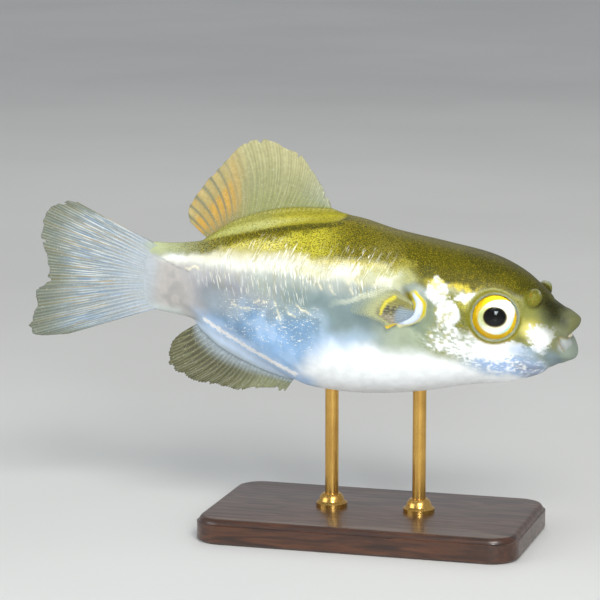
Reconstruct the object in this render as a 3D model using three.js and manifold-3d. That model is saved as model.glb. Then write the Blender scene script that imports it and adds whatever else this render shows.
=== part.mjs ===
// A life-size freshwater pufferfish, nose slightly down, on a small display stand.
// Millimetres, +Z up, +X towards the nose. The origin is the middle of the stand's underside.
//
// The fish is drawn level in its own group: x = -s, where s is the distance behind the mouth,
// y is positive on the fish's left side, and z is the height above the mouth. The group then tips it.

import * as THREE from "three";
import { mergeVertices } from "three/addons/utils/BufferGeometryUtils.js";
import Module from "manifold-3d";

const wasm = await Module();
wasm.setup();

// ---------------------------------------------------------------- driving dimensions

const NOSE_DOWN = THREE.MathUtils.degToRad(5);
const MOUTH_X = 35.9;
const MOUTH_Z = 37.2;
const GAP = 0.3; // clearance between neighbouring solids

// The body's outline, each knot [s, value].
const BACK = [
  [0.8, 4.2], [2, 5.3], [5, 7.2], [9.6, 10.4], [15.5, 12.6], [24, 13.75],
  [33, 14.7], [43, 16.1], [54.6, 12.6], [64.7, 9.5], [69, 8.1], [74, 7.2], [81.5, 6.7],
];
const BELLY = [
  [0.8, -3.7], [3.6, -5.95], [6.3, -7.5], [10.4, -9.05], [17.5, -10.5], [25.9, -12.9],
  [34.5, -14.5], [41, -15.0], [47.5, -14.6], [55.5, -11.2], [61.4, -8.6], [67, -6.4],
  [72.5, -5.6], [81.5, -5.4],
];
const HALF_WIDTH = [
  [0.8, 2.5], [2.5, 3.5], [5, 4.9], [8.5, 6.4], [12.7, 7.9], [18, 9.1], [24, 10], [31, 10.6],
  [38, 10.6], [46, 9.7], [54, 7.8], [62, 5.6], [70, 3.7], [75, 2.7], [79, 1.6], [81.5, 0.9],
];
const WIDEST_AT = [
  [0.8, 0.3], [6, 0.2], [12.7, 0.8], [22, 0.3], [35, -1], [48, -0.6], [60, 0.8], [70, 1], [81.5, 0.6],
];
const FULLNESS = [[0.8, 2.2], [12, 2.35], [30, 2.2], [60, 2], [81.5, 2]];
const BODY_ENDS = [0.8, 81.5];
const GILL_CUT = 23.6; // where the head meets the trunk
const STEM_CUT = 67.3; // where the trunk meets the tail stem

// The eyeball's centre and size, and how many degrees its axis turns forward and up from sideways.
const EYE = { s: 13.4, y: 5.1, z: 3.0, radius: 4.0, dome: 6.2, proud: 3.75, depth: 3.4, forward: 15, up: 6 };
// The nasal lobe's centre on the snout, and its half sizes.
const NASAL = { s: 7.1, y: 4.3, z: 6.6, along: 1.9, across: 1.55, proud: 1.5 };
const PECTORAL_FLARE = 0.42; // how far the pectoral fin stands off the flank, per millimetre of ray

// ---------------------------------------------------------------- curves

// A smooth function through [position, value] knots; values may be numbers or arrays.
function curveThrough(knots) {
  const at = knots.map((k) => k[0]);
  const slope = (a, b) => (b[1] - a[1]) / (b[0] - a[0]);
  const tangents = knots.map((k, i) => {
    if (i === 0) return slope(k, knots[1]);
    if (i === knots.length - 1) return slope(knots[i - 1], k);
    return slope(knots[i - 1], knots[i + 1]);
  });
  return (x) => {
    let i = at.findIndex((a) => a > x) - 1;
    if (x <= at[0]) i = 0;
    if (x >= at[at.length - 1]) i = at.length - 2;
    const h = at[i + 1] - at[i];
    const t = Math.min(1, Math.max(0, (x - at[i]) / h));
    const t2 = t * t;
    const t3 = t2 * t;
    return (
      (2 * t3 - 3 * t2 + 1) * knots[i][1] +
      (t3 - 2 * t2 + t) * h * tangents[i] +
      (3 * t2 - 2 * t3) * knots[i + 1][1] +
      (t3 - t2) * h * tangents[i + 1]
    );
  };
}

// A smooth path through [u, s, z] knots.
function pathThrough(knots) {
  const s = curveThrough(knots.map((k) => [k[0], k[1]]));
  const z = curveThrough(knots.map((k) => [k[0], k[2]]));
  return (u) => [s(u), z(u)];
}

const back = curveThrough(BACK);
const belly = curveThrough(BELLY);
const halfWidth = curveThrough(HALF_WIDTH);
const widestAt = curveThrough(WIDEST_AT);
const fullness = curveThrough(FULLNESS);

// The body's half width at s and height z.
function flankAt(s, z) {
  const mid = widestAt(s);
  const height = z > mid ? back(s) - mid : mid - belly(s);
  const share = Math.min(1, Math.abs(z - mid) / height);
  return halfWidth(s) * Math.pow(1 - Math.pow(share, fullness(s)), 1 / fullness(s));
}

// ---------------------------------------------------------------- closed meshes

// Triangles that face out, from a list of corner triples.
function closedGeometry(points, triangles) {
  let volume = 0;
  for (const [a, b, c] of triangles)
    volume += points[a].dot(new THREE.Vector3().crossVectors(points[b], points[c]));
  const facing = volume < 0 ? triangles.map(([a, b, c]) => [a, c, b]) : triangles;
  return new THREE.BufferGeometry().setFromPoints(points).setIndex(facing.flat());
}

// A closed skin over rings of equally many points, with a fan over each end.
function loft(rings) {
  const sides = rings[0].length;
  const points = rings.flat();
  const triangles = [];
  for (let r = 0; r + 1 < rings.length; r++)
    for (let i = 0; i < sides; i++) {
      const a = r * sides + i;
      const b = r * sides + ((i + 1) % sides);
      triangles.push([a, b, a + sides], [b, b + sides, a + sides]);
    }
  for (const [ring, turn] of [[0, 1], [rings.length - 1, 0]]) {
    const middle = new THREE.Vector3();
    rings[ring].forEach((p) => middle.addScaledVector(p, 1 / sides));
    const hub = points.push(middle) - 1;
    for (let i = 0; i < sides; i++) {
      const a = ring * sides + i;
      const b = ring * sides + ((i + 1) % sides);
      triangles.push(turn ? [hub, b, a] : [hub, a, b]);
    }
  }
  return closedGeometry(points, triangles);
}

// A closed slab over a sheet of rays: sheet(u, v) is its middle, half(u, v) half its thickness along y.
function slab(rays, steps, sheet, half) {
  const points = [];
  for (const side of [1, -1])
    for (let i = 0; i <= rays; i++)
      for (let j = 0; j <= steps; j++) {
        const [s, y, z] = sheet(i / rays, j / steps);
        points.push(new THREE.Vector3(-s, y + side * half(i / rays, j / steps), z));
      }
  const other = (rays + 1) * (steps + 1);
  const at = (i, j) => i * (steps + 1) + j;
  const triangles = [];
  const quad = (a, b, c, d) => triangles.push([a, b, c], [a, c, d]);
  for (let i = 0; i < rays; i++)
    for (let j = 0; j < steps; j++) {
      quad(at(i, j), at(i + 1, j), at(i + 1, j + 1), at(i, j + 1));
      quad(other + at(i, j), other + at(i, j + 1), other + at(i + 1, j + 1), other + at(i + 1, j));
    }
  const wall = (a, b) => quad(a, a + other, b + other, b);
  for (let i = 0; i < rays; i++) {
    wall(at(i, 0), at(i + 1, 0));
    wall(at(i + 1, steps), at(i, steps));
  }
  for (let j = 0; j < steps; j++) {
    wall(at(0, j + 1), at(0, j));
    wall(at(rays, j), at(rays, j + 1));
  }
  return closedGeometry(points, triangles);
}

// ---------------------------------------------------------------- solids

function solidOf(geometry) {
  const bare = geometry.clone();
  bare.deleteAttribute("normal");
  bare.deleteAttribute("uv");
  const merged = mergeVertices(bare, 1e-4);
  return new wasm.Manifold(
    new wasm.Mesh({
      numProp: 3,
      vertProperties: new Float32Array(merged.attributes.position.array),
      triVerts: new Uint32Array(merged.index.array),
    }),
  );
}

// The largest single piece of a cut solid, as a named mesh.
function part(name, solid, material) {
  const pieces = solid.decompose().sort((a, b) => b.volume() - a.volume());
  const made = pieces[0].getMesh();
  const geometry = new THREE.BufferGeometry();
  geometry.setAttribute("position", new THREE.BufferAttribute(made.vertProperties, 3));
  geometry.setIndex(new THREE.BufferAttribute(made.triVerts, 1));
  geometry.computeVertexNormals();
  const mesh = new THREE.Mesh(geometry, material);
  mesh.name = name;
  return mesh;
}

// A block that spans the whole fish between two distances behind the mouth.
function blockBetween(from, to) {
  const block = new THREE.BoxGeometry(to - from, 60, 80);
  block.translate(-(from + to) / 2, 0, 0);
  return solidOf(block);
}

const finish = (color, roughness, metalness = 0) =>
  new THREE.MeshStandardMaterial({ color, roughness, metalness });
const MATERIALS = {
  head: finish(0xa8a878, 0.35, 0.2),
  trunk: finish(0xb8bfae, 0.35, 0.2),
  stem: finish(0xb9bcb8, 0.4, 0.1),
  lip: finish(0xa6aa9a, 0.45),
  fleshy: finish(0xb5b54a, 0.45),
  fin: finish(0xb9b98c, 0.5),
  tail: finish(0xa9b9c0, 0.45),
  eye: finish(0xe8d070, 0.15, 0.3),
  tooth: finish(0xe6dfc8, 0.35),
  base: finish(0x3a2518, 0.4),
  rod: finish(0xb08a4a, 0.3, 1),
};

// ---------------------------------------------------------------- body

const BODY_RINGS = 38;
const BODY_SIDES = 26;

// The body, grown outwards by so much.
function bodySolid(grow = 0) {
  const [front, rear] = BODY_ENDS;
  const rings = [];
  for (let r = 0; r <= BODY_RINGS; r++) {
    const along = r / BODY_RINGS;
    const s = front + (rear - front) * Math.pow(along, 1.15); // closer rings at the snout
    const mid = widestAt(s);
    const power = 2 / fullness(s);
    const ring = [];
    for (let i = 0; i < BODY_SIDES; i++) {
      const angle = (2 * Math.PI * i) / BODY_SIDES;
      const up = Math.cos(angle);
      const out = Math.sin(angle);
      const height = (up > 0 ? back(s) - mid : mid - belly(s)) + grow;
      const y = (halfWidth(s) + grow) * Math.sign(out) * Math.pow(Math.abs(out), power);
      const z = mid + height * Math.sign(up) * Math.pow(Math.abs(up), power);
      const end = r === 0 ? grow : r === BODY_RINGS ? -grow : 0;
      ring.push(new THREE.Vector3(-s + end, y, z));
    }
    rings.push(ring);
  }
  return solidOf(loft(rings));
}

// ---------------------------------------------------------------- lips and teeth

// A curved bar round the mouth. It is thickest in front, and reaches `corner` behind its front.
function mouthBar({ front, corner, wide, level, cornerLevel, thick, cornerThick, tall }) {
  const rings = [];
  const steps = 10;
  const sides = 10;
  for (let k = 0; k <= steps; k++) {
    const turn = THREE.MathUtils.degToRad(-88 + (176 * k) / steps);
    const share = 1 - Math.cos(turn);
    const radius = thick + (cornerThick - thick) * share;
    const middle = new THREE.Vector3(
      -(front + corner * share),
      wide * Math.sin(turn),
      level + (cornerLevel - level) * Math.pow(share, 1.5),
    );
    const outward = new THREE.Vector3(Math.cos(turn), Math.sin(turn), 0);
    const ring = [];
    for (let i = 0; i < sides; i++) {
      const a = (2 * Math.PI * i) / sides;
      ring.push(
        middle
          .clone()
          .addScaledVector(outward, radius * Math.cos(a))
          .add(new THREE.Vector3(0, 0, radius * tall * Math.sin(a))),
      );
    }
    rings.push(ring);
  }
  return solidOf(loft(rings));
}

const UPPER_LIP = {
  front: 0.9, corner: 2.1, wide: 2.3, level: 2.75, cornerLevel: 0.9,
  thick: 1.5, cornerThick: 0.9, tall: 1.05,
};
const LOWER_LIP = {
  front: 0.75, corner: 2.1, wide: 2.2, level: -2.3, cornerLevel: -0.9,
  thick: 1.5, cornerThick: 0.85, tall: 1,
};
const TOOTH_PLATE = {
  front: 1.3, corner: 1.1, wide: 1.5, level: 0.4, cornerLevel: 0.4,
  thick: 0.9, cornerThick: 0.6, tall: 1.2,
};

const grown = (bar, by) => ({ ...bar, thick: bar.thick + by, cornerThick: bar.cornerThick + by });

// ---------------------------------------------------------------- eyes and nasal organs

// The eyeball: a shallow dome in front of a rounded cup, its axis pointing out of the head.
function eyeSolid(side, grow = 0) {
  const { radius, dome, proud, depth } = EYE;
  const r = radius + grow;
  const profile = [new THREE.Vector2(0, -depth - grow)];
  for (const share of [0.5, 0.85, 1])
    profile.push(new THREE.Vector2(r * share, -(depth + grow) * Math.sqrt(1 - share * share * 0.93)));
  const rim = proud - (dome - Math.sqrt(dome * dome - radius * radius));
  const domeSteps = 5;
  for (let k = 0; k < domeSteps; k++) {
    const out = r * (1 - k / domeSteps);
    const drop = dome - Math.sqrt(dome * dome - Math.pow(Math.min(out, radius), 2));
    profile.push(new THREE.Vector2(out, proud + grow - drop));
  }
  profile.push(new THREE.Vector2(0, proud + grow));
  if (rim < 0) throw new Error("the eye's dome is too steep");
  const ball = new THREE.LatheGeometry(profile, 22);
  const turned = new THREE.Matrix4().makeRotationFromEuler(
    new THREE.Euler(THREE.MathUtils.degToRad(EYE.up), 0, THREE.MathUtils.degToRad(-EYE.forward)),
  );
  ball.applyMatrix4(turned).translate(-EYE.s, EYE.y, EYE.z);
  if (side < 0) ball.scale(1, -1, 1);
  return orientedSolid(ball);
}

// A mirrored or reversed lathe, turned so that its faces point out.
function orientedSolid(geometry) {
  const bare = geometry.clone();
  bare.deleteAttribute("normal");
  bare.deleteAttribute("uv");
  const merged = mergeVertices(bare, 1e-4);
  const place = merged.attributes.position;
  const points = [];
  for (let i = 0; i < place.count; i++) points.push(new THREE.Vector3().fromBufferAttribute(place, i));
  const corners = merged.index.array;
  const triangles = [];
  for (let i = 0; i < corners.length; i += 3) {
    const [a, b, c] = [corners[i], corners[i + 1], corners[i + 2]];
    if (a !== b && b !== c && c !== a) triangles.push([a, b, c]);
  }
  return solidOf(closedGeometry(points, triangles));
}

// The fleshy nasal organ: an upright lobe on the snout with a round opening near its top.
function nasalSolid(side) {
  const lobe = new THREE.SphereGeometry(1, 14, 9);
  lobe.scale(NASAL.across, NASAL.proud + 0.6, NASAL.along);
  lobe.rotateX(THREE.MathUtils.degToRad(42));
  lobe.rotateY(THREE.MathUtils.degToRad(24));
  lobe.translate(-NASAL.s, NASAL.y, NASAL.z);
  if (side < 0) lobe.scale(1, -1, 1);
  return orientedSolid(lobe);
}

// ---------------------------------------------------------------- fins

// Each fin is a fan of rays from base(u) to tip(u), u from 0 at its leading ray to 1 at its last.
const DORSAL = {
  rays: 24,
  steps: 3,
  base: pathThrough([
    [0, 43.8, 16.7], [0.33, 52.1, 16.2], [0.58, 57.8, 14.9], [0.82, 63.5, 12.2], [1, 67.6, 8.9],
  ]),
  tip: pathThrough([
    [0, 44.3, 17.2], [0.12, 46.4, 19.3], [0.24, 48.9, 22.5], [0.36, 51.5, 25.7], [0.45, 54, 26.6],
    [0.55, 57.4, 27.8], [0.63, 60.5, 27.3], [0.71, 63.3, 25.3], [0.79, 66, 21.9], [0.87, 68.9, 18.3],
    [0.93, 70.9, 15], [0.97, 71.5, 13.2], [1, 71, 11.2],
  ]),
  wave: 0.5,
};
const ANAL = {
  rays: 22,
  steps: 3,
  base: pathThrough([
    [0, 49.5, -14.6], [0.27, 54.4, -13.7], [0.53, 59.2, -12.2], [0.76, 63.3, -10.5],
    [0.93, 66.9, -8.1], [1, 68.2, -6.9],
  ]),
  tip: pathThrough([
    [0, 50.7, -16.7], [0.13, 53.3, -16.6], [0.27, 56.5, -17], [0.4, 59.8, -17.9], [0.53, 63.6, -17.7],
    [0.65, 67.2, -17.4], [0.75, 70.2, -16.5], [0.83, 72.3, -15.3], [0.9, 73.1, -13.2],
    [0.96, 72.4, -10.6], [1, 70.8, -8.8],
  ]),
  wave: -0.45,
};
const CAUDAL = {
  rays: 24,
  steps: 4,
  base: pathThrough([
    [0, 77.5, 6.7], [0.25, 80, 3.6], [0.5, 80.8, 0.6], [0.75, 79.6, -2.4], [1, 77.2, -5.7],
  ]),
  tip: pathThrough([
    [0, 92.4, 12], [0.06, 94.6, 12], [0.12, 96.7, 11.2], [0.18, 98.1, 9.9], [0.26, 98.7, 7.6],
    [0.34, 98.8, 5.4], [0.42, 97.9, 2.9], [0.5, 97, 0.3], [0.56, 96.7, -1.4], [0.62, 97.2, -3.6],
    [0.66, 98.5, -4.5], [0.74, 98.6, -7.4], [0.8, 99.2, -9.9], [0.86, 99.8, -11.8],
    [0.92, 98.6, -13.3], [1, 92.6, -12.3],
  ]),
  wave: 0.7,
};
const PECTORAL = {
  rays: 10,
  steps: 3,
  base: pathThrough([[0, 27.2, 5.6], [0.3, 26.2, 4.3], [0.6, 26.2, 2], [1, 27.9, 0]]),
  tip: pathThrough([[0, 33, 5.6], [0.2, 35, 4.8], [0.45, 36.4, 2.8], [0.7, 35.2, 0.6], [1, 31, -1.1]]),
  wave: 0,
};

// A point of a fin's middle sheet, which waves a little from side to side.
function finPoint(fin, u, v) {
  const [s0, z0] = fin.base(u);
  const [s1, z1] = fin.tip(u);
  const y = fin.wave * v * v * Math.sin(2 * Math.PI * (u + 0.15));
  return [s0 + (s1 - s0) * v, y, z0 + (z1 - z0) * v];
}

const FIN_HALF = 0.3; // half a fin's thickness at its edge
const FIN_ROOT_HALF = 0.45;

function finSolid(fin) {
  return solidOf(
    slab(
      fin.rays,
      fin.steps,
      (u, v) => finPoint(fin, u, v),
      (u, v) => FIN_ROOT_HALF + (FIN_HALF - FIN_ROOT_HALF) * v,
    ),
  );
}

// The pectoral fin springs from the flank and stands off it towards its tip.
function pectoralSolid(side) {
  const sheet = (u, v) => {
    const [s, , z] = finPoint(PECTORAL, u, v);
    const [s0, z0] = PECTORAL.base(u);
    const run = Math.hypot(s - s0, z - z0);
    return [s, side * (flankAt(s0, z0) + 0.5 + PECTORAL_FLARE * run), z];
  };
  return solidOf(slab(PECTORAL.rays, PECTORAL.steps, sheet, () => FIN_HALF + 0.05));
}

// The muscular lobe that carries the pectoral fin: a crescent on the flank.
function pectoralLobe(side, grow = 0) {
  const rings = [];
  const steps = 12;
  for (let k = 0; k <= steps; k++) {
    const u = k / steps;
    const [s, z] = PECTORAL.base(u);
    const radius = 0.35 + 0.95 * Math.sqrt(Math.max(0, 4 * u * (1 - u))) + grow;
    const y = side * (flankAt(s, z) - 0.1);
    const ring = [];
    for (let i = 0; i < 10; i++) {
      const a = (2 * Math.PI * i) / 10;
      const forward = 0.6 + 1.05 * radius * Math.cos(a);
      ring.push(new THREE.Vector3(-s + forward, y + side * radius * Math.sin(a), z));
    }
    rings.push(ring);
  }
  return solidOf(loft(rings));
}

// The fleshy ridge that carries the dorsal or anal fin, from inside the body out to the rays' base.
function finRidge(fin, bodyEdge, inward, halfThick) {
  const sheet = (u, v) => {
    const [s, z] = fin.base(u);
    const root = bodyEdge(s) + inward;
    return [s, 0, root + (z - root) * v];
  };
  const half = (u, v) => {
    const swell = Math.sqrt(Math.max(0, 1 - Math.pow(2 * u - 1, 6)));
    const taper = 1 - 0.62 * v * v;
    return 0.35 + halfThick * swell * taper;
  };
  return solidOf(slab(16, 4, sheet, half));
}

// ---------------------------------------------------------------- the fish

const fish = new THREE.Group();
fish.position.set(MOUTH_X, 0, MOUTH_Z);
fish.rotation.y = NOSE_DOWN;
fish.updateMatrixWorld(true);

const body = bodySolid();
const bodyRoom = bodySolid(GAP);
const eyeRoom = eyeSolid(1, GAP).add(eyeSolid(-1, GAP));

const toothRoom = mouthBar(grown(TOOTH_PLATE, GAP));
const head = body.intersect(blockBetween(-5, GILL_CUT - GAP / 2)).subtract(eyeRoom).subtract(toothRoom);
fish.add(part("head", head, MATERIALS.head));
fish.add(part("tail_stem", body.intersect(blockBetween(STEM_CUT + GAP / 2, 90)), MATERIALS.stem));

const upperLip = mouthBar(UPPER_LIP);
const lowerLip = mouthBar(LOWER_LIP);
const lipRoom = mouthBar(grown(UPPER_LIP, GAP)).add(mouthBar(grown(LOWER_LIP, GAP)));
fish.add(part("upper_lip", upperLip.subtract(bodyRoom), MATERIALS.lip));
fish.add(
  part("lower_lip", lowerLip.subtract(bodyRoom).subtract(mouthBar(grown(UPPER_LIP, GAP))), MATERIALS.lip),
);
fish.add(part("tooth_plate", mouthBar(TOOTH_PLATE).subtract(lipRoom), MATERIALS.tooth));

for (const [side, word] of [[-1, "right"], [1, "left"]]) {
  fish.add(part("eye_" + word, eyeSolid(side), MATERIALS.eye));
  fish.add(part("nasal_organ_" + word, nasalSolid(side).subtract(bodyRoom), MATERIALS.lip));
  fish.add(part("pectoral_lobe_" + word, pectoralLobe(side).subtract(bodyRoom), MATERIALS.fleshy));
  fish.add(
    part(
      "pectoral_fin_" + word,
      pectoralSolid(side).subtract(bodyRoom).subtract(pectoralLobe(side, GAP)),
      MATERIALS.fin,
    ),
  );
}

const dorsalRidge = finRidge(DORSAL, back, -1.5, 1.5);
const analRidge = finRidge(ANAL, belly, 1.5, 1.4);
fish.add(part("dorsal_ridge", dorsalRidge.subtract(bodyRoom), MATERIALS.fleshy));
fish.add(part("anal_ridge", analRidge.subtract(bodyRoom), MATERIALS.fleshy));

// The ridge moved out along z by the gap, so that its fin stays clear of it.
const clearOf = (ridge, shift) => ridge.add(ridge.translate([0, 0, shift]));
const dorsalFin = finSolid(DORSAL).subtract(bodyRoom).subtract(clearOf(dorsalRidge, GAP));
const analFin = finSolid(ANAL).subtract(bodyRoom).subtract(clearOf(analRidge, -GAP));
fish.add(part("dorsal_fin", dorsalFin, MATERIALS.fin));
fish.add(part("anal_fin", analFin, MATERIALS.fin));
fish.add(part("caudal_fin", finSolid(CAUDAL).subtract(bodyRoom), MATERIALS.tail));

// ---------------------------------------------------------------- the stand

const STAND = {
  length: 58, width: 32, thick: 4.5, corner: 5, chamfer: 0.8,
  rodRadius: 1.2, rodX: [-7.5, 8.5], rodIntoBelly: 2.4, collarRadius: 2.8, collarTall: 2.2,
};

function standBase() {
  const { length, width, thick, corner, chamfer } = STAND;
  const [x, y, r] = [length / 2 - chamfer, width / 2 - chamfer, corner - chamfer];
  const plan = new THREE.Shape();
  plan.moveTo(-x + r, -y);
  plan.lineTo(x - r, -y);
  plan.absarc(x - r, -y + r, r, -Math.PI / 2, 0);
  plan.absarc(x - r, y - r, r, 0, Math.PI / 2);
  plan.absarc(-x + r, y - r, r, Math.PI / 2, Math.PI);
  plan.absarc(-x + r, -y + r, r, Math.PI, 1.5 * Math.PI);
  const plate = new THREE.ExtrudeGeometry(plan, {
    depth: thick - 2 * chamfer, curveSegments: 5,
    bevelThickness: chamfer, bevelSize: chamfer, bevelSegments: 1,
  });
  plate.translate(0, 0, chamfer);
  return orientedSolid(plate);
}

// A rod stands in the base and ends inside the belly.
function standRod(x, bottom, top, radius) {
  const rod = new THREE.CylinderGeometry(radius, radius, top - bottom, 16);
  rod.rotateX(Math.PI / 2);
  rod.translate(x, 0, (top + bottom) / 2);
  return rod;
}

function standCollar(x) {
  const { collarRadius, collarTall, rodRadius, thick } = STAND;
  const [inner, foot] = [rodRadius + GAP, thick + GAP];
  const profile = [
    [inner, foot], [collarRadius, foot], [collarRadius, foot + 0.5 * collarTall],
    [0.75 * collarRadius, foot + collarTall], [inner, foot + collarTall], [inner, foot],
  ];
  const ring = new THREE.LatheGeometry(profile.map(([r, z]) => new THREE.Vector2(r, z)), 16);
  ring.rotateX(Math.PI / 2);
  ring.translate(x, 0, 0);
  return orientedSolid(ring);
}

// The height of the belly's underside above the ground at x.
function bellyAbove(x) {
  let lowest = Infinity;
  for (let s = 0; s < 70; s += 0.25) {
    const point = new THREE.Vector3(-s, 0, belly(s)).applyMatrix4(fish.matrixWorld);
    if (Math.abs(point.x - x) < 0.3) lowest = Math.min(lowest, point.z);
  }
  return lowest;
}

const stand = new THREE.Group();
const toFish = fish.matrixWorld.clone().invert();
const socketDepth = 2 * GAP;
let base = standBase();
let trunk = body.intersect(blockBetween(GILL_CUT + GAP / 2, STEM_CUT - GAP / 2));
const rods = [];
STAND.rodX.forEach((x, i) => {
  const name = i ? "front" : "rear";
  const top = bellyAbove(x) + STAND.rodIntoBelly;
  const foot = 1.5;
  rods.push(part("stand_rod_" + name, solidOf(standRod(x, foot, top, STAND.rodRadius)), MATERIALS.rod));
  rods.push(part("stand_collar_" + name, standCollar(x), MATERIALS.rod));
  const hole = standRod(x, foot - GAP, top + socketDepth, STAND.rodRadius + GAP);
  base = base.subtract(solidOf(hole));
  trunk = trunk.subtract(solidOf(hole.clone().applyMatrix4(toFish)));
});
fish.add(part("trunk", trunk, MATERIALS.trunk));
stand.add(part("stand_base", base, MATERIALS.base), ...rods);

const root = new THREE.Group();
root.add(fish, stand);

export default root;
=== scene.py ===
"""A life-size freshwater pufferfish on a small display stand: the looks.

The fish is drawn in its own level frame, in millimetres: s runs back from the mouth, y to the fish's
left and z up. to_world() tips it nose-down and puts it over the stand, in metres. Colours of three
numbers are sRGB in percent, but for those of the lights.
"""

import math
from types import SimpleNamespace

import bpy
import numpy as np
import openvdb
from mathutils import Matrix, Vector


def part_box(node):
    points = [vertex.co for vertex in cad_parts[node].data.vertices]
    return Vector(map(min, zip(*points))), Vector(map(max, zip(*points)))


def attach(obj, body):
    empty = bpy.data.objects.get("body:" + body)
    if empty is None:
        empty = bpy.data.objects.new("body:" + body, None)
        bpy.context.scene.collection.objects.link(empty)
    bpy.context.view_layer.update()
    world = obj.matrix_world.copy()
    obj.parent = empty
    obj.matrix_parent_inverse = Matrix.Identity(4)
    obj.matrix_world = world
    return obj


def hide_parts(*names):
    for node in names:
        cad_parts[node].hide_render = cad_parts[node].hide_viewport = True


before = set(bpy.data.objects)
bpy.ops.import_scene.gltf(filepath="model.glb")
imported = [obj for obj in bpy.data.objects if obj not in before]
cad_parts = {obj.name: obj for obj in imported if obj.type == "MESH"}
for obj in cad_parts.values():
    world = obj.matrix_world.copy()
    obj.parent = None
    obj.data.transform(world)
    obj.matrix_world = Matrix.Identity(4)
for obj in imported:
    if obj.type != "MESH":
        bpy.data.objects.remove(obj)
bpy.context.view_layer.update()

MM = 0.001
SIDES = ((1, "left"), (-1, "right"))

# ---- small maths


def curve_through(knots):
    """A smooth function through (position, value) knots."""
    at, value = np.array(knots, float).T
    rise = np.diff(value) / np.diff(at)
    inner = (value[2:] - value[:-2]) / (at[2:] - at[:-2])
    tangent = np.concatenate([rise[:1], inner, rise[-1:]])

    def curve(x):
        x = np.asarray(x, float)
        i = np.clip(np.searchsorted(at, x, side="right") - 1, 0, len(at) - 2)
        h = at[i + 1] - at[i]
        t = np.clip((x - at[i]) / h, 0, 1)
        start = (1 + 2 * t) * (1 - t) ** 2 * value[i] + t * (1 - t) ** 2 * h * tangent[i]
        end = t * t * (3 - 2 * t) * value[i + 1] + t * t * (t - 1) * h * tangent[i + 1]
        return start + end

    return curve


def path_through(knots):
    """A smooth path through (u, s, z) knots."""
    s = curve_through([(knot[0], knot[1]) for knot in knots])
    z = curve_through([(knot[0], knot[2]) for knot in knots])
    return lambda u: (s(u), z(u))


def ease(x, low, high):
    """0 below low, 1 above high, smooth between; low may be the greater."""
    t = np.clip((x - low) / (high - low), 0, 1)
    return t * t * (3 - 2 * t)


def within(x, low, full_from, full_to, high):
    """1 between the two middle values, easing to 0 at low and at high."""
    return ease(x, low, full_from) * ease(x, high, full_to)


def bell(x, width):
    """1 at 0, falling off to both sides."""
    return np.exp(-((x / width) ** 2))


def toward(angle, middle, reach):
    """1 where the angle is the middle one, falling off to both sides of it."""
    return bell((angle - middle + math.pi) % (2 * math.pi) - math.pi, reach)


def soft_min(a, b, reach):
    """The smaller of two distances, with the crease between them rounded."""
    blend = np.maximum(reach - np.abs(a - b), 0) / reach
    return np.minimum(a, b) - blend * blend * reach / 4


def soft_max(a, b, reach):
    """The greater of two distances, rounded in the same way."""
    return -soft_min(-a, -b, reach)


LATTICE_SIZE = 32
LATTICE = np.random.default_rng(seed=7).random((LATTICE_SIZE,) * 3)
LATTICE_START = 100.0  # moves every place that is asked for into positive cells


def noise(x, y, z, size):
    """Smooth value noise from 0 to 1 with features of so many millimetres."""
    place = np.stack(np.broadcast_arrays(x, y, z), -1) / size + LATTICE_START
    cell = np.floor(place).astype(int)
    share = place - cell
    share = share * share * (3 - 2 * share)
    total = 0
    for corner in np.ndindex(2, 2, 2):
        weight = np.prod(np.where(corner, share, 1 - share), -1)
        i, j, k = np.moveaxis((cell + corner) % LATTICE_SIZE, -1, 0)
        total = total + weight * LATTICE[i, j, k]
    return total


def to_chain(place, points, radii):
    """Distance from places, given axis by axis, to a chain of round-ended cones."""
    place = np.stack(np.broadcast_arrays(*place), -1)
    nearest = np.inf
    for a, b, ra, rb in zip(points, points[1:], radii, radii[1:]):
        step = np.subtract(b, a)
        t = np.clip(((place - a) @ step) / (step @ step), 0, 1)
        gap = np.linalg.norm(place - a - t[..., None] * step, axis=-1) - (ra + (rb - ra) * t)
        nearest = np.minimum(nearest, gap)
    return nearest


def to_line(s, z, points):
    """Distance in side view to a broken line of (s, z) points."""
    return to_chain((s, z), points, [0] * len(points))


def linear(color):
    """An sRGB colour, given in percent, as linear light."""
    c = np.array(color, float) / 100
    return np.where(c <= 0.04045, c / 12.92, ((c + 0.055) / 1.055) ** 2.4)


def over(color, mask, tone):
    """Linear colours with another laid over them by a mask."""
    return color + mask[..., None] * (tone - color)


# ---- the fish's place and outline

NOSE_DOWN = math.radians(5)
MOUTH_X, MOUTH_Z = 35.9, 37.2

back = curve_through([
    (0.8, 4.2), (2, 5.3), (5, 7.2), (9.6, 10.4), (15.5, 12.6), (24, 13.75),
    (33, 14.7), (43, 16.1), (54.6, 12.6), (64.7, 9.5), (69, 8.1), (74, 7.2), (81.5, 6.7),
])
belly = curve_through([
    (0.8, -3.7), (3.6, -5.95), (6.3, -7.5), (10.4, -9.05), (17.5, -10.5), (25.9, -12.9),
    (34.5, -14.5), (41, -15.0), (47.5, -14.6), (55.5, -11.2), (61.4, -8.6), (67, -6.4),
    (72.5, -5.6), (81.5, -5.4),
])
half_width = curve_through([
    (0.8, 2.5), (2.5, 3.5), (5, 4.9), (8.5, 6.4), (12.7, 7.9), (18, 9.1), (24, 10), (31, 10.6),
    (38, 10.6), (46, 9.7), (54, 7.8), (62, 5.6), (70, 3.4), (75, 1.7), (78.5, 0.55), (81.5, 0.15),
])
widest_at = curve_through([
    (0.8, 0.3), (6, 0.2), (12.7, 0.8), (22, 0.3), (35, -1), (48, -0.6), (60, 0.8), (70, 1), (81.5, 0.6),
])
fullness = curve_through([(0.8, 2.2), (12, 2.35), (30, 2.2), (60, 2), (81.5, 2)])

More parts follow.
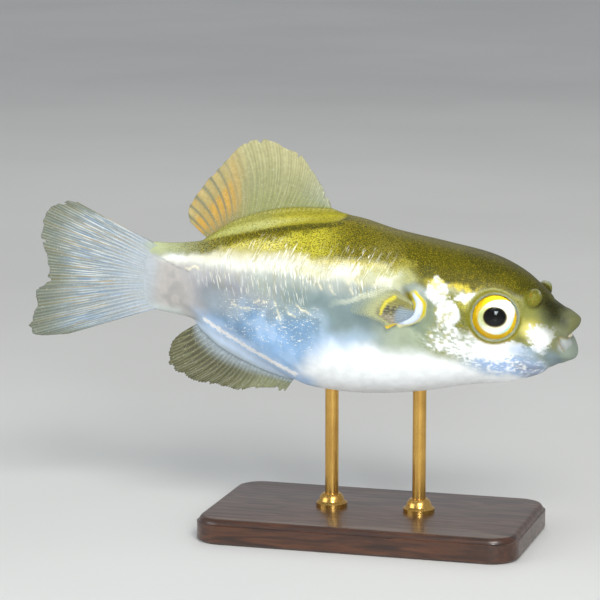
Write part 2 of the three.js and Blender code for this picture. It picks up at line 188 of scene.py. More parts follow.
# The two ends as s for each z: the snout's face, but for the mouth's notch, and the tail's fleshy end.
snout_face = curve_through([
    (-6, 3.9), (-5, 1.8), (-4.1, 0.65), (-3.5, -0.45), (-2.9, -0.85), (-2, -0.92), (-0.8, -0.85),
    (0.5, -0.8), (2, -0.84), (3.2, -0.88), (3.6, -0.78), (4.0, -0.3), (4.5, 0.5), (5.1, 1.35),
    (5.7, 2.7), (6.3, 3.9),
])
tail_arc = curve_through([(-5.5, 77.1), (-2, 79.9), (0.4, 81.2), (3.8, 80.5), (6.9, 77.7)])


def body_reach(s, z):
    """How far up or down from the widest level z lies, as a share of the way to the outline."""
    middle = widest_at(s)
    return np.abs(z - middle) / np.where(z > middle, back(s) - middle, middle - belly(s))


def flank_at(s, z):
    """The body's half width at s and height z."""
    share = np.clip(body_reach(s, z), 0, 1)
    return half_width(s) * (1 - share ** fullness(s)) ** (1 / fullness(s))


def to_world(s, y, z):
    """Points of the level frame, in metres in the row frame."""
    cos, sin = math.cos(NOSE_DOWN), math.sin(NOSE_DOWN)
    return np.stack([MOUTH_X - s * cos + z * sin, y, MOUTH_Z + s * sin + z * cos], -1) * MM


# ---- features of the head and fins

EYE = SimpleNamespace(s=13.4, y=5.1, z=3.0, radius=4.0, dome=6.2, proud=3.75, depth=3.4)
EYE_AXIS = np.array([-0.2588, 0.9606, 0.1010])  # forward, out and slightly up, as (s, y, z)
EYE_UP = np.array([0.0263, -0.0974, 0.9949])
EYE_FORE = np.array([-0.9656, -0.2602, 0.0])
EYE_RING = SimpleNamespace(radius=4.5, extra=0.65, widest_at=2.4, reach=1.3)

NASAL = SimpleNamespace(s=7.1, y=4.3, z=6.6, along=1.9, across=1.55, out=2.1)
NASAL_OUT = np.array([-0.272, 0.743, 0.611])
NASAL_ALONG = np.array([-0.302, -0.669, 0.679])
NASAL_ACROSS = np.array([-0.9135, 0.0, -0.407])
PIT = SimpleNamespace(across=-0.15, out=1.95, along=0.75, radius=0.45, rim=0.75)  # of the nasal lobe

MOUTH = SimpleNamespace(s=0.1, z=0.5, deep=1.6, wide=1.5, tall=0.5)
MOUTH_LINE = [
    (0.3, 0.36), (1.37, 0.27), (1.88, 0.55), (2.24, 0.1), (1.95, -0.66), (1.58, -1.26), (1.0, -1.94),
]
GILL_HOLLOW = [(25.2, 6.0), (24.1, 3.6), (24.6, 1.4), (26.2, 0.0)]
GILL_SLIT = [(28.4, 6.2), (27.9, 5.5), (27.3, 4.9)]
LOBE_AHEAD, LOBE_STEPS = 0.15, 12

dorsal_base = path_through([
    (0, 45.2, 17.1), (0.31, 52.1, 16.4), (0.58, 57.8, 14.9), (0.82, 63.5, 12.2), (1, 67.6, 8.9),
])
dorsal_tip = path_through([
    (0, 45.5, 17.6), (0.10, 46.5, 19.4), (0.24, 48.9, 22.6), (0.36, 51.5, 25.7), (0.45, 54, 26.6),
    (0.55, 57.4, 27.8), (0.63, 60.5, 27.3), (0.71, 63.3, 25.3), (0.79, 66, 21.9), (0.87, 68.9, 18.3),
    (0.93, 70.9, 15), (0.97, 71.5, 13.2), (1, 71, 11.2),
])
anal_base = path_through([
    (0, 49.5, -14.6), (0.27, 54.4, -13.7), (0.53, 59.2, -12.2), (0.76, 63.3, -10.5),
    (0.93, 66.9, -8.1), (1, 68.2, -6.9),
])
anal_tip = path_through([
    (0, 50.7, -16.7), (0.13, 53.3, -16.6), (0.27, 56.5, -17), (0.4, 59.8, -17.9), (0.53, 63.6, -17.7),
    (0.65, 67.2, -17.4), (0.75, 70.2, -16.5), (0.83, 72.3, -15.3), (0.9, 73.1, -13.2),
    (0.96, 72.4, -10.6), (1, 70.8, -8.8),
])
caudal_base = path_through([
    (0, 77.5, 6.7), (0.25, 80, 3.6), (0.5, 80.8, 0.6), (0.75, 79.6, -2.4), (1, 77.2, -5.7),
])
caudal_tip = path_through([
    (0, 92.4, 12), (0.06, 94.6, 12), (0.12, 96.7, 11.2), (0.18, 98.1, 9.9), (0.26, 98.7, 7.6),
    (0.34, 98.8, 5.4), (0.42, 97.9, 2.9), (0.5, 97, 0.3), (0.56, 96.7, -1.4), (0.62, 97.2, -3.6),
    (0.66, 98.5, -4.5), (0.74, 98.6, -7.4), (0.8, 99.2, -9.9), (0.86, 99.8, -11.8),
    (0.92, 98.6, -13.3), (1, 92.6, -12.3),
])
pectoral_lobe = path_through([
    (0, 27.0, 5.8), (0.3, 25.7, 4.3), (0.6, 26.0, 2.3), (0.8, 27.1, 1.15), (1, 28.8, 0.5),
])
pectoral_base = path_through([(0, 27.0, 4.6), (0.4, 26.7, 3.1), (0.7, 27.3, 1.8), (1, 29.0, 0.5)])
pectoral_tip = path_through([
    (0, 30.2, 7.0), (0.15, 32.6, 6.6), (0.35, 35.2, 5.0), (0.52, 36.6, 3.1), (0.66, 36.4, 2.0),
    (0.8, 34.3, 1.3), (0.92, 31.8, 0.4), (1, 30.5, -0.6),
])
PECTORAL_ARC = [(29.7, 5.2), (31.0, 4.2), (31.6, 2.8), (31.7, 2.0)]
PECTORAL_FLARE = 0.36

# ---- the flesh, as a distance field

VOXEL = 0.285
GRID_LOW = np.array([-2.6, 0.0, -17.0])
GRID_HIGH = np.array([84.0, 13.0, 18.6])
FIELD_REACH = 6.0
RIDGE_STEPS = 60


def flesh_field():
    """Signed distance to the flesh, on a grid over the fish's left half, and the grid's axes."""
    axes = [np.arange(low, high, VOXEL) for low, high in zip(GRID_LOW, GRID_HIGH)]
    s, y, z = axes[0][:, None, None], axes[1][None, :, None], axes[2][None, None, :]
    section = np.maximum(s, 2.2)
    power = fullness(section)
    level = ((y / half_width(section)) ** power + body_reach(section, z) ** power) ** (1 / power) - 1
    slope = np.sqrt(sum(g * g for g in np.gradient(level, VOXEL)))
    field = np.clip(level / np.maximum(slope, 1e-3), -FIELD_REACH, FIELD_REACH)
    field = soft_max(field, s - tail_arc(z), 0.5)
    for add in (shape_snout, add_fin_ridges, add_eye_socket, add_nasal_organ, add_pectoral_lobe):
        field = add(field, s, y, z)
    return field, axes


def local(s, y, z, feature):
    """Offsets from a feature's middle, as (s, y, z) along the last axis."""
    return np.stack(np.broadcast_arrays(s - feature.s, y - feature.y, z - feature.z), -1)


def add_fin_ridges(field, s, y, z):
    """The fleshy ridges under the dorsal and anal fins."""
    for base, edge, up, thick, lead in ((dorsal_base, back, 1, 1.5, 3.0), (anal_base, belly, -1, 1.4, 0.0)):
        along, height = base(np.linspace(0, 1, RIDGE_STEPS))
        start, end = along[0] - lead, along[-1]
        top = np.interp(s, along, height) - 0.33 * np.maximum(along[0] - s, 0)
        share = np.clip((s - start) / (end - start), 0, 1)
        root = edge(s) - 1.5 * up
        v = np.clip((z - root) / np.where(np.abs(top - root) < 0.2, 0.2, top - root), 0, 1)
        swell = np.sqrt(np.clip(1 - (2 * share - 1) ** 6, 0, 1))
        half = 0.3 + thick * swell * (1 - 0.68 * v * v)
        ridge = soft_max((y - half) * 0.85, np.maximum(up * (z - top), up * (root - z)), 0.5)
        ridge = soft_max(ridge, np.maximum(start - s, s - end), 0.5)
        field = soft_min(field, ridge, 1.1)
    return field


def around_eye(s, y, z):
    """Height along the eye's axis, distance from it, and the radius of the skin's ring at that angle."""
    p = local(s, y, z, EYE)
    along = p @ EYE_AXIS
    out = np.sqrt(np.maximum((p * p).sum(-1) - along * along, 0))
    angle = np.arctan2(p @ EYE_UP, p @ EYE_FORE)
    return along, out, EYE_RING.radius + EYE_RING.extra * toward(angle, EYE_RING.widest_at, EYE_RING.reach)


def add_eye_socket(field, s, y, z):
    """A socket that fits the eyeball, in a low ring of skin that is widest behind and above."""
    along, out, ring = around_eye(s, y, z)
    near = ease(along, 0.5, 2)
    field = field - 0.30 * bell(out, 6.5) * near - 0.2 * bell(out - 4.15, 0.4) * near
    field = field + 0.09 * bell(out - ring - 0.1, 0.35) * near
    dome = np.hypot(along - (EYE.proud - EYE.dome), out) - EYE.dome
    ball = np.maximum(np.maximum(dome - 0.35, out - EYE.radius + 0.12), -along - EYE.depth)
    return soft_max(field, -ball, 0.3)


def add_nasal_organ(field, s, y, z):
    """The upright nasal lobe, with a round pit near its top."""
    p = local(s, y, z, NASAL)
    q = np.stack([p @ NASAL_ACROSS, p @ NASAL_OUT, p @ NASAL_ALONG], -1)
    size = np.array([NASAL.across, NASAL.out, NASAL.along]) * 0.96
    far = np.sqrt(((q / size) ** 2).sum(-1))
    lobe = far * (far - 1) / np.maximum(np.sqrt(((q / size ** 2) ** 2).sum(-1)), 1e-6)
    field = soft_min(field, lobe, 0.5)
    pit = np.linalg.norm(q - [PIT.across, PIT.out, PIT.along], axis=-1)
    field = field - 0.16 * bell(pit - PIT.rim, 0.3)
    return soft_max(field, PIT.radius - pit, 0.3)


def shape_snout(field, s, y, z):
    """The face of the snout: a pointed upper lip, a round lower one, the mouth and its folds."""
    near = s.ravel() < 8
    part, block = s[near], field[near]
    notch = 1.3 * ease(y[0], 3.4, 0.8) * bell(z[0] - MOUTH.z, 1.5 - 0.3 * np.minimum(y[0], 2.5))
    face = snout_face(z[0]) + notch + 0.2 * y[0] * y[0]
    slope = np.sqrt(1 + sum(g * g for g in np.gradient(face, VOXEL)))
    block = soft_max(block, (face - part) / slope, 1.0)
    mouth = ((part - MOUTH.s) / MOUTH.deep) ** 2 + (y / MOUTH.wide) ** 2 + ((z - MOUTH.z) / MOUTH.tall) ** 2
    block = soft_max(block, (1 - np.sqrt(mouth)) * MOUTH.tall, 0.2)
    aside = ease(y, 0.9, 1.9)
    block = block + 0.26 * bell(to_line(part, z, MOUTH_LINE), 0.22) * aside
    field[near] = block - 0.22 * bell(np.hypot(part - 1.0, z + 0.55), 0.75) * aside
    return field


def add_pectoral_lobe(field, s, y, z):
    """The crescent that carries the pectoral fin, and the gill opening above it."""
    near = (s.ravel() > 21) & (s.ravel() < 33)
    part, block = s[near], field[near]
    u = np.linspace(0, 1, LOBE_STEPS)
    along, height = pectoral_lobe(u)
    points = np.stack([along - LOBE_AHEAD, flank_at(along, height) - 0.15, height], -1)
    lobe = to_chain((part, y, z), points, 0.22 + 0.68 * np.sqrt(4 * u ** 1.2 * (1 - u ** 1.2)))
    block = block + 0.45 * bell(to_line(part, z, GILL_HOLLOW), 0.55) * ease(y, 6, 8)
    block = soft_min(block, lobe, 0.45)
    slit = [(ss, flank_at(ss, zz) + 0.2, zz) for ss, zz in GILL_SLIT]
    field[near] = soft_max(block, -to_chain((part, y, z), slit, [0.25, 0.6, 0.3]), 0.3)
    return field


def flesh_mesh():
    """Points and quads of the whole skin in the level frame, from the mirrored field."""
    field, axes = flesh_field()
    whole = np.concatenate([field[:, :0:-1], field], 1).astype(np.float32)
    grid = openvdb.FloatGrid(background=FIELD_REACH)
    grid.copyFromArray(np.ascontiguousarray(whole))
    points, quads = grid.convertToQuads(isovalue=0.0)
    points = np.asarray(points, float) * VOXEL
    points += np.array([axes[0][0], -axes[1][-1], axes[2][0]])
    return points, np.asarray(quads)


# ---- building pieces

ATTRIBUTE_KINDS = {1: ("FLOAT", "value"), 3: ("FLOAT_VECTOR", "vector"), 4: ("FLOAT_COLOR", "color")}


def link_object(name, data):
    """A new object in the scene."""
    made = bpy.data.objects.new(name, data)
    bpy.context.scene.collection.objects.link(made)
    return made


def add_mesh(name, points, faces, material, slot, replaced, **attributes):
    """A smooth piece made of points in metres, which rides on the root and replaces CAD nodes."""
    mesh = bpy.data.meshes.new(name)
    mesh.from_pydata(points, [], faces, shade_flat=False)
    for key, values in attributes.items():
        kind, entry = ATTRIBUTE_KINDS[np.size(values) // len(points)]
        data = mesh.attributes.new(key, kind, "POINT").data
        data.foreach_set(entry, np.asarray(values, np.float32).ravel())
    mesh.update()
    mesh.materials.append(material)
    piece = link_object(name, mesh)
    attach(piece, "root")
    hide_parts(*replaced)
    return piece


def add_fish_piece(name, points, faces, material, slot, replaced, **attributes):
    """A piece given in the level frame, whose material reads that place as the attribute level."""
    world = to_world(*points.T)
    return add_mesh(name, world, faces, material, slot, replaced, level=points, **attributes)


def facing_out(points, quads):
    """The quads of a closed mesh, facing out: in the left-handed level frame its volume is below 0."""
    a, b, c, d = (points[quads[:, corner]] for corner in range(4))
    volume = np.einsum("ij,ij->", a, np.cross(b, c) + np.cross(c, d))
    return quads if volume < 0 else quads[:, ::-1]


def ring_faces(count, turns, flip=False):
    """Quads between so many rings of points, and a flat cap on the first and last ring."""
    i = np.arange(count - 1)[:, None] * turns
    j = np.arange(turns)[None, :]
    k = (j + 1) % turns
    faces = np.stack([i + j, i + k, i + turns + k, i + turns + j], -1).reshape(-1, 4).tolist()
    faces.append(list(range(turns))[::-1])
    faces.append(list(range((count - 1) * turns, count * turns)))
    return [face[::-1] for face in faces] if flip else faces


def turned_rings(middle, axes, profile, turns):
    """Rings of points about the last axis, from rows of a radius along each other axis and a height."""
    angle = around(turns)[:, None]
    fore, up = np.cos(angle) * axes[0], np.sin(angle) * axes[1]
    return np.array([middle + (wide * fore + tall * up) + height * axes[2] for wide, tall, height in profile])


def around(turns):
    """So many angles round a circle."""
    return np.linspace(0, 2 * math.pi, turns, endpoint=False)


def rgba(color):
    """Colours with an alpha of 1, as a colour attribute wants them."""
    return np.concatenate([color, np.ones(color.shape[:-1] + (1,))], -1)


class Shader:
    """A material's node tree, built by short calls."""

    def __init__(self, name):
        self.material = bpy.data.materials.new(name)
        self.material.use_nodes = True
        self.tree = self.material.node_tree
        self.tree.nodes.clear()

    def node(self, kind, inputs=None, **settings):
        """A node with its settings and its inputs, each a value or another node's output."""
        made = self.tree.nodes.new("ShaderNode" + kind)
        for key, value in settings.items():
            setattr(made, key, value)
        for key, value in (inputs or {}).items():
            self.put(made.inputs[key], value)
        return made

    def put(self, socket, value):
        if isinstance(value, bpy.types.NodeSocket):
            self.tree.links.new(value, socket)
        else:
            socket.default_value = value

    def attribute(self, name, output="Color"):
        return self.node("Attribute", attribute_name=name).outputs[output]

    def place(self):
        return self.node("TexCoord").outputs["Object"]

    def math(self, operation, a, b=0.0):
        return self.node("Math", {0: a, 1: b}, operation=operation).outputs[0]

    def times(self, a, b):
        return self.math("MULTIPLY", a, b)

    def scaled(self, vector, factors):
        return self.node("VectorMath", {0: vector, 1: factors}, operation="MULTIPLY").outputs[0]

    def noise(self, vector, scale, detail=2.0, distortion=0.0):
        inputs = {"Vector": vector, "Scale": scale, "Detail": detail, "Distortion": distortion}
        return self.node("TexNoise", inputs).outputs["Fac"]

    def between(self, value, low, high, start=0.0, end=1.0):
        """Eases from start to end while the value goes from low to high."""
        inputs = {"Value": value, "From Min": low, "From Max": high, "To Min": start, "To Max": end}
        return self.node("MapRange", inputs, interpolation_type="SMOOTHSTEP").outputs["Result"]

    def mix(self, share, a, b):
        """Colour a with so much of b; each is an sRGB colour or another node's output."""
        made = self.node("Mix", {0: share}, data_type="RGBA")
        for place, color in ((6, a), (7, b)):
            is_output = isinstance(color, bpy.types.NodeSocket)
            self.put(made.inputs[place], color if is_output else (*linear(color), 1))
        return made.outputs[2]

    def flecks(self, color, grain, low, high, mask, share, tone):
        """A colour with flecks of a tone where the grain goes from low to high, and where those are."""
        found = self.times(self.between(grain, low, high), mask)
        return self.mix(self.times(found, share), color, tone), found

    def bump(self, height, distance, strength):
        inputs = {"Height": height, "Distance": distance, "Strength": strength}
        return self.node("Bump", inputs).outputs["Normal"]

    def finish(self, **inputs):
        """Closes the tree with a Principled shader; an input's _ stands for a space."""
        named = {key.replace("_", " "): value for key, value in inputs.items()}
        shader = self.node("BsdfPrincipled", named)
        self.node("OutputMaterial", {"Surface": shader.outputs[0]})
        return self.material


# ---- the skin's markings

# Edges as z for each s: of the olive back, the silver band, the white belly and the dorsal fin's ridge.
olive_edge = curve_through([
    (0, 3.4), (5, 4.4), (9, 6.8), (16, 7.6), (20, 8.2), (25, 8.6), (30, 9.8), (38, 10.2),
    (46, 9.8), (52, 9.7), (58, 9.0), (64, 7.4), (70, 6.2), (76, 5.6), (82, 5.2),
])
band_edge = curve_through([
    (22, 7), (30, 6.6), (38, 7.0), (46, 6.6), (52, 6.2), (58, 5.6), (64, 5.2), (72, 4.6), (82, 4.2),
])
white_edge = curve_through([
    (0, -6), (8, -6.8), (14, -6.2), (20, -4.8), (28, -4.4), (36, -4.6), (42, -6.2), (46, -10),
    (50, -14), (82, -20),
])
ridge_foot = curve_through([
    (41.2, 17.0), (42.2, 16.0), (43.6, 15.4), (46.4, 14.8), (52.4, 13.4), (58.4, 11.7), (65, 9.6),
    (68, 8.4),
])

WHITE = (96, 97, 97)
OLIVE = (33, 31.5, 2)
YELLOW_OLIVE = (81, 78, 25)
DARK_OLIVE = (22, 22, 2)
GOLD = (88, 80, 22)
SILVER = (86, 86, 80)
GREY_GREEN = (60, 64, 62)
TEAL_GREY = (47, 54, 54)
LAVENDER = (58, 59, 62)
PINK_GREY = (70, 68, 66)
SKY = (46, 59, 71)
STEEL = (46, 57.5, 69)
LILAC = (62, 72, 86)
SNOUT_GREY = (46, 47, 36)

SIDE_LINE = [(31.0, 6.2), (32.6, 5.5), (35.8, 4.3), (38.4, 3.1), (41.4, 2.1)]
ANAL_LINE = [(66.0, -5.4), (62.5, -7.0), (57.7, -9.1), (52.6, -10.8), (47.8, -12.2)]
TAIL_CREASE = [(77, 5.0), (74, 4.0), (71.4, 3.3), (69.3, 3.0)]
FLANK_CREASES = (
    [(52.0, 0.8), (51.0, -0.3), (50.6, -1.7), (50.2, -3.0)],
    [(55.8, 0.1), (54.9, 0.5), (53.6, 0.3)],
    [(49.4, 0.5), (48.9, -0.7), (47.6, -1.1)],
    [(47.7, 1.2), (46.7, 0.3), (45.0, 0.0)],
    [(44.4, 6.0), (43.8, 5.0), (43.2, 4.2)],
    [(42.3, 6.1), (41.5, 4.9), (40.5, 4.0)],
    [(38.7, 6.4), (37.7, 4.7)],
    [(60.1, -0.8), (58.4, -1.3), (56.2, -1.4)],
    [(70.4, 3.2), (68.3, 3.9), (66.4, 4.1)],
)
TAIL_FAN = SimpleNamespace(s=61.5, z=1.0, stripes=234)  # the fan's point, and how fast its stripes repeat
STREAK_BEND_Z, STREAK_LEAN = 6.9, 0.32  # the streaks lean one way above this height, the other below


class Paint:
    """Colours laid over one another on the skin's points, and masks for the marks of its material."""

    def __init__(self, s, y, z):
        self.s, self.y, self.z = s, y, z
        fine = noise(z + 40, s, y, 0.9) - 0.5
        self.ws = s + noise(s, y, z, 2.2) - 0.5 + 0.5 * fine  # places that wander, so no edge is ruled
        self.wz = z + noise(y + 20, z, s, 2.4) - 0.5 + 0.5 * fine
        self.color = np.tile(linear(GREY_GREEN), (len(s), 1))
        self.shine, self.speckle, self.streak, self.glint = np.zeros((4, len(s)))

    def lay(self, mask, color, shine=None):
        """Lays a colour by a mask, and a metal shine where one is given."""
        mask = np.clip(mask, 0, 1)
        self.color = over(self.color, mask, linear(color))
        if shine is not None:
            self.shine += mask * (shine - self.shine)

    def spot(self, s, z, reach_s, reach_z, soft=0.35, tilt=0):
        """A soft-edged oval, tilted by so many degrees nose-up."""
        ds, dz = self.ws - s, self.wz - z
        cos, sin = math.cos(math.radians(tilt)), math.sin(math.radians(tilt))
        far = np.hypot((ds * cos - dz * sin) / reach_s, (ds * sin + dz * cos) / reach_z)
        return ease(far, 1 + soft, 1 - soft)

    def dab(self, s, z, reach_s, reach_z, color, share=1, shine=None, **edge):
        """Lays a soft-edged oval of colour."""
        self.lay(self.spot(s, z, reach_s, reach_z, **edge) * share, color, shine)

    def broken(self, mask, size=0.38, amount=0.8):
        """The mask with a torn edge instead of a soft one."""
        grain = noise(self.s, self.y + 7, self.z * 1.3, size) - 0.5
        return ease(mask + amount * grain * ease(mask, 0, 0.3), 0.25, 0.75)

    def line(self, points, width, wander=0.3):
        """A soft line that keeps so much of the wandering."""
        s = self.s + wander * (self.ws - self.s)
        z = self.z + wander * (self.wz - self.z)
        return bell(to_line(s, z, points), width)


def paint_skin(s, y, z):
    """The markings of the whole skin, the same on both sides."""
    p = Paint(s, y, z)
    for paint in (
        paint_flank, paint_band, paint_back, paint_cheek, paint_snout, paint_eye_ring, paint_pectoral_base,
        paint_fin_ridges,
    ):
        paint(p)
    return p


def paint_flank(p):
    """The grey-green side, the blue below it and the white belly."""
    s, z = p.ws, p.wz
    cloud = noise(s, p.y, z, 3.2) - 0.5
    p.lay(ease(s + 8 * cloud, 51, 58) * ease(z, -6, -4), LAVENDER)
    p.lay(ease(s + 6 * cloud, 64, 72), PINK_GREY)
    p.dab(63.5, 0.4, 3.4, 2.2, (44, 48, 50), 0.55, soft=0.6, tilt=25)
    freckle = ease(noise(s, p.y, z, 1.3), 0.52, 0.8) * within(s, 62, 66, 73, 76) * ease(z, 4, 2)
    p.lay(freckle * 0.22, (44, 46, 47))
    p.lay(within(s, 29, 35, 46, 55) * within(z, -5, 0, 2, 6), TEAL_GREY)
    p.lay(ease(s, 35, 28) * ease(z, 2.5, 0) * 0.9, (61, 65, 55))
    p.lay(ease(z + 3 * cloud, 1.0, -3.5) * within(s, 38, 46, 62, 67), SKY)
    p.dab(59, -6.6, 5.5, 2.4, STEEL, 0.8, soft=0.6, tilt=-28)
    p.dab(51.5, -7.6, 5.0, 3.8, (60, 74.5, 90), 0.8, soft=0.6, tilt=-30)
    haze = ease(noise(s, p.y, z, 2.0), 0.5, 0.75) * ease(z, 2, -1) * within(s, 38, 44, 56, 64)
    p.lay(haze * 0.35, (76, 84, 93))
    p.dab(62.0, -1.4, 4.5, 2.6, (60, 63.5, 65), 0.65, soft=0.6)
    p.lay(ease(z, -3.4, -5.0) * ease(s, 68, 72), (76, 78, 76))
    p.dab(40, -5.8, 6, 2.6, (70, 82, 96), 0.6, soft=0.7, tilt=20)
    reach = 1.5 + 1.8 * ease(s, 34, 44)
    p.lay(ease(z, white_edge(s) + reach, white_edge(s) - reach), WHITE, 0.05)
    p.lay(ease(z, belly(s) + 4.2, belly(s) + 1.6) * within(s, 42, 46, 64, 70), (70, 80, 92))


def paint_band(p):
    """The silver band with its bright shards, a painted highlight high on the tail stem, the pale creases
    below it and the tail's striped end.
    """
    s, z = p.ws, p.wz
    cloud = noise(s, p.y, z, 3.2) - 0.5
    low = band_edge(s)
    band = ease(z, low - 1.3, low + 0.6) * ease(s + 6 * cloud, 27, 33) * ease(s, 79, 74)
    p.lay(band, SILVER, 0.65)
    tint = ease(noise(s * 0.8, p.y + 3, z * 0.8, 0.8), 0.3, 0.55)
    p.lay(band * ease(s, 53, 43) * (0.4 + 0.5 * tint), (83, 81, 56), 0.45)
    p.lay(band * ease(s, 40, 33) * 0.5, (70, 73, 58), 0.3)
    p.dab(29.5, 8.8, 3.0, 1.3, (60, 62, 42), 0.25, soft=0.7)
    # Painted highlight: a small white patch high on the tail stem.
    p.dab(73.0, 5.6, 2.0, 0.7, WHITE, shine=0.5, soft=0.3, tilt=-12)
    p.lay(ease(z, low - 3.8, low - 0.5) * within(s, 36, 42, 66, 74) * 0.3, SILVER, 0.4)
    p.lay(p.broken(p.line(SIDE_LINE, 0.55), 0.4, 0.7) * ease(s, 43, 34) * 0.75, (90, 91, 80), 0.3)
    shards = ease(noise(s * 0.9 + z * 0.5, p.y, z * 0.45, 1.5), 0.48, 0.62) * within(s, 29, 32, 44, 50)
    p.lay(band * shards * ease(z, 9.6, 8.8) * 0.7, (100, 100, 93), 0.45)

    dashed = ease(noise(p.s, p.y, p.z, 0.45), 0.25, 0.6)
    for crease in FLANK_CREASES:
        p.lay(p.line(crease, 0.16, wander=0.7) * dashed * 0.75, (97, 93, 78), 0.4)
    p.lay(p.line(TAIL_CREASE, 0.16, wander=0.6) * 0.5, (44, 46, 50))
    turn = np.arctan2(p.z - TAIL_FAN.z, p.s - TAIL_FAN.s)
    tail_end = ease(s, 74, 78.5)
    p.lay(tail_end * 0.9, (67, 70, 72), 0.1)
    p.lay(tail_end * ease(np.cos(turn * TAIL_FAN.stripes), -0.2, 0.8) * 0.3, (74, 77, 78), 0.1)

    p.glint = within(z, -9.5, -6, 0, 1.5) * within(s, 41, 45, 60, 64)
    high = within(z, 4.0, 5.6, olive_edge(s), olive_edge(s) + 2.6) * within(s, 29, 34, 60, 67)
    high = high * (0.25 + 0.75 * ease(noise(s, p.y, z * 0.5, 2.6), 0.35, 0.6))
    p.streak = np.maximum(high, 0.5 * within(z, 0.5, 2, 4, 6) * within(s, 44, 48, 64, 70))


def paint_back(p):
    """The olive back, paler towards the tail, with painted shade along the foot of the dorsal fin's ridge."""
    s, z = p.ws, p.wz
    edge = olive_edge(s)
    olive = ease(z, edge - 0.9, edge + 0.7)
    p.lay(ease(z, edge - 2.2, edge) * (1 - olive) * 0.5 * ease(s, 72, 60) * (1 - bell(s - 29, 3.5)), GOLD)
    p.lay(olive * ease(s, 79.5, 75), OLIVE, 0.1)
    p.dab(25.6, 8.9, 1.7, 1.7, (38, 38, 14), 0.9, soft=0.4)
    p.lay(p.broken(p.spot(29.9, 10.1, 2.4, 1.1, soft=0.9), 0.4, 0.9) * 0.55, (70, 67, 28), 0.2)
    p.dab(28.2, 8.6, 1.4, 1.5, (70, 69, 36), 0.6, 0.1, soft=0.8)
    p.lay(olive * within(s, 27, 36, 62, 72) * 0.25, (52, 50, 18))
    below = back(s) - z
    p.lay(olive * within(s, 39, 47, 60, 66) * ease(below, 0.9, 2.2) * 0.9, YELLOW_OLIVE, 0.2)
    p.lay(olive * within(s, 49, 55, 60, 66) * ease(below, 1.2, 2.4) * 0.75, (95, 91, 52))
    p.dab(33, 11.5, 3, 2.2, (56, 53, 26), olive * 0.3, soft=0.5)
    p.dab(15.5, 12.0, 4.5, 1.6, DARK_OLIVE, olive * 0.7, tilt=-12)
    p.dab(26, 9.5, 2.2, 1.6, DARK_OLIVE, olive * 0.5)
    p.dab(9, 9.4, 3.5, 1.3, DARK_OLIVE, olive * 0.7, tilt=-35)
    p.lay(ease(s, 62, 76) * olive, (70, 73, 56))
    # Painted shade: a dark line along the foot of the dorsal fin's ridge, where it meets the back.
    foot = p.z - ridge_foot(p.s) + 0.45
    p.lay(p.broken(bell(foot, 0.5), 0.4, 0.5) * within(p.s, 40, 43, 55, 62) * 0.8, (27, 28, 12))
    speckle = np.maximum(olive, 0.6 * ease(z, edge - 3, edge) * ease(s, 60, 40))
    p.speckle = speckle * (0.5 + 0.5 * ease(s, 20, 40)) * ease(s, 78, 66)


def paint_cheek(p):
    """The olive cheek, with torn white patches, lilac below, a gold fringe above and painted shade just
    behind the eye.
    """
    s, y, z = p.s, p.y, p.z
    cheek = ease(s, 25, 20) * within(z, -6, -3, 6, 7.5)
    p.lay(cheek, (50, 51, 25))
    p.dab(24.3, 2.4, 1.8, 2.6, (52, 57, 48), soft=0.6)
    p.speckle = np.maximum(p.speckle, 0.6 * cheek * ease(z, -1, 1) * ease(s, 7, 10))
    p.dab(10, -5.2, 6.8, 2.0, LILAC, soft=0.5, tilt=-6)
    p.dab(6.2, -6.4, 2.8, 1.4, (56, 59, 66), 0.8, soft=0.5, tilt=-30)
    p.dab(6.0, 1.5, 2.0, 1.5, (84, 79, 40), 0.8, 0.3, soft=0.8, tilt=-20)
    for patch in (
        p.spot(23.1, 6.5, 2.0, 2.1, soft=0.4), p.spot(20.7, 2.9, 1.9, 2.7, soft=0.5),
        p.spot(19.0, -1.7, 4.4, 2.4, soft=0.6), p.spot(17.7, 6.5, 1.8, 1.0, soft=0.5, tilt=25),
        p.spot(13.1, -2.4, 5.3, 2.2, soft=0.4, tilt=3),
    ):
        torn = p.broken(patch)
        p.lay(torn, WHITE, 0.35)
        p.speckle = p.speckle * (1 - torn)
    p.dab(6.2, 0.9, 2.0, 1.3, (90, 86, 52), 0.8, 0.3, soft=0.7)
    near_mouth = p.spot(5.0, 0.9, 2.1, 1.4, soft=0.8, tilt=12) + p.spot(4.9, -0.7, 1.3, 2.0, soft=0.8)
    p.lay(p.broken(np.clip(near_mouth, 0, 1), 0.32, 1.1), WHITE, 0.35)
    fringe = p.spot(20.5, 8.1, 4.4, 0.6, soft=0.6) + p.spot(23.6, 7.6, 1.2, 0.8, soft=0.6)
    p.lay(np.clip(fringe, 0, 1) * 0.7 * ease(noise(s, y, z, 0.6), 0.3, 0.6), GOLD, 0.4)
    # Painted shade: a dark olive band just behind the eye.
    p.dab(17.7, 2.2, 1.2, 3.2, (42, 42, 15), 0.75, soft=0.7)
    p.dab(17.6, 5.0, 1.2, 0.9, (78, 75, 30), 0.8, 0.2, soft=0.7)
    mesh = ease(noise(s * 0.8, y, z * 1.7, 0.5), 0.46, 0.60)
    p.dab(20.4, -1.2, 5.4, 2.9, (50, 54, 38), mesh * 0.75, 0.1, soft=0.5)
    dots = ease(noise(s * 0.8, y + 9, z * 1.5, 0.42), 0.54, 0.70)
    p.dab(11.5, -4.7, 7, 2.0, WHITE, dots * 0.85, 0.3, soft=0.5, tilt=-6)
    cracks = ease(noise(s + 0.5 * z, y + 5, z * 0.8, 0.5), 0.62, 0.72)
    p.dab(22, 2.8, 2.8, 4.6, (62, 60, 26), cracks * 0.7, 0.1, soft=0.4)
    p.glint = np.maximum(p.glint, 0.8 * p.spot(14, -4.0, 9, 2.6, soft=0.5, tilt=-4))


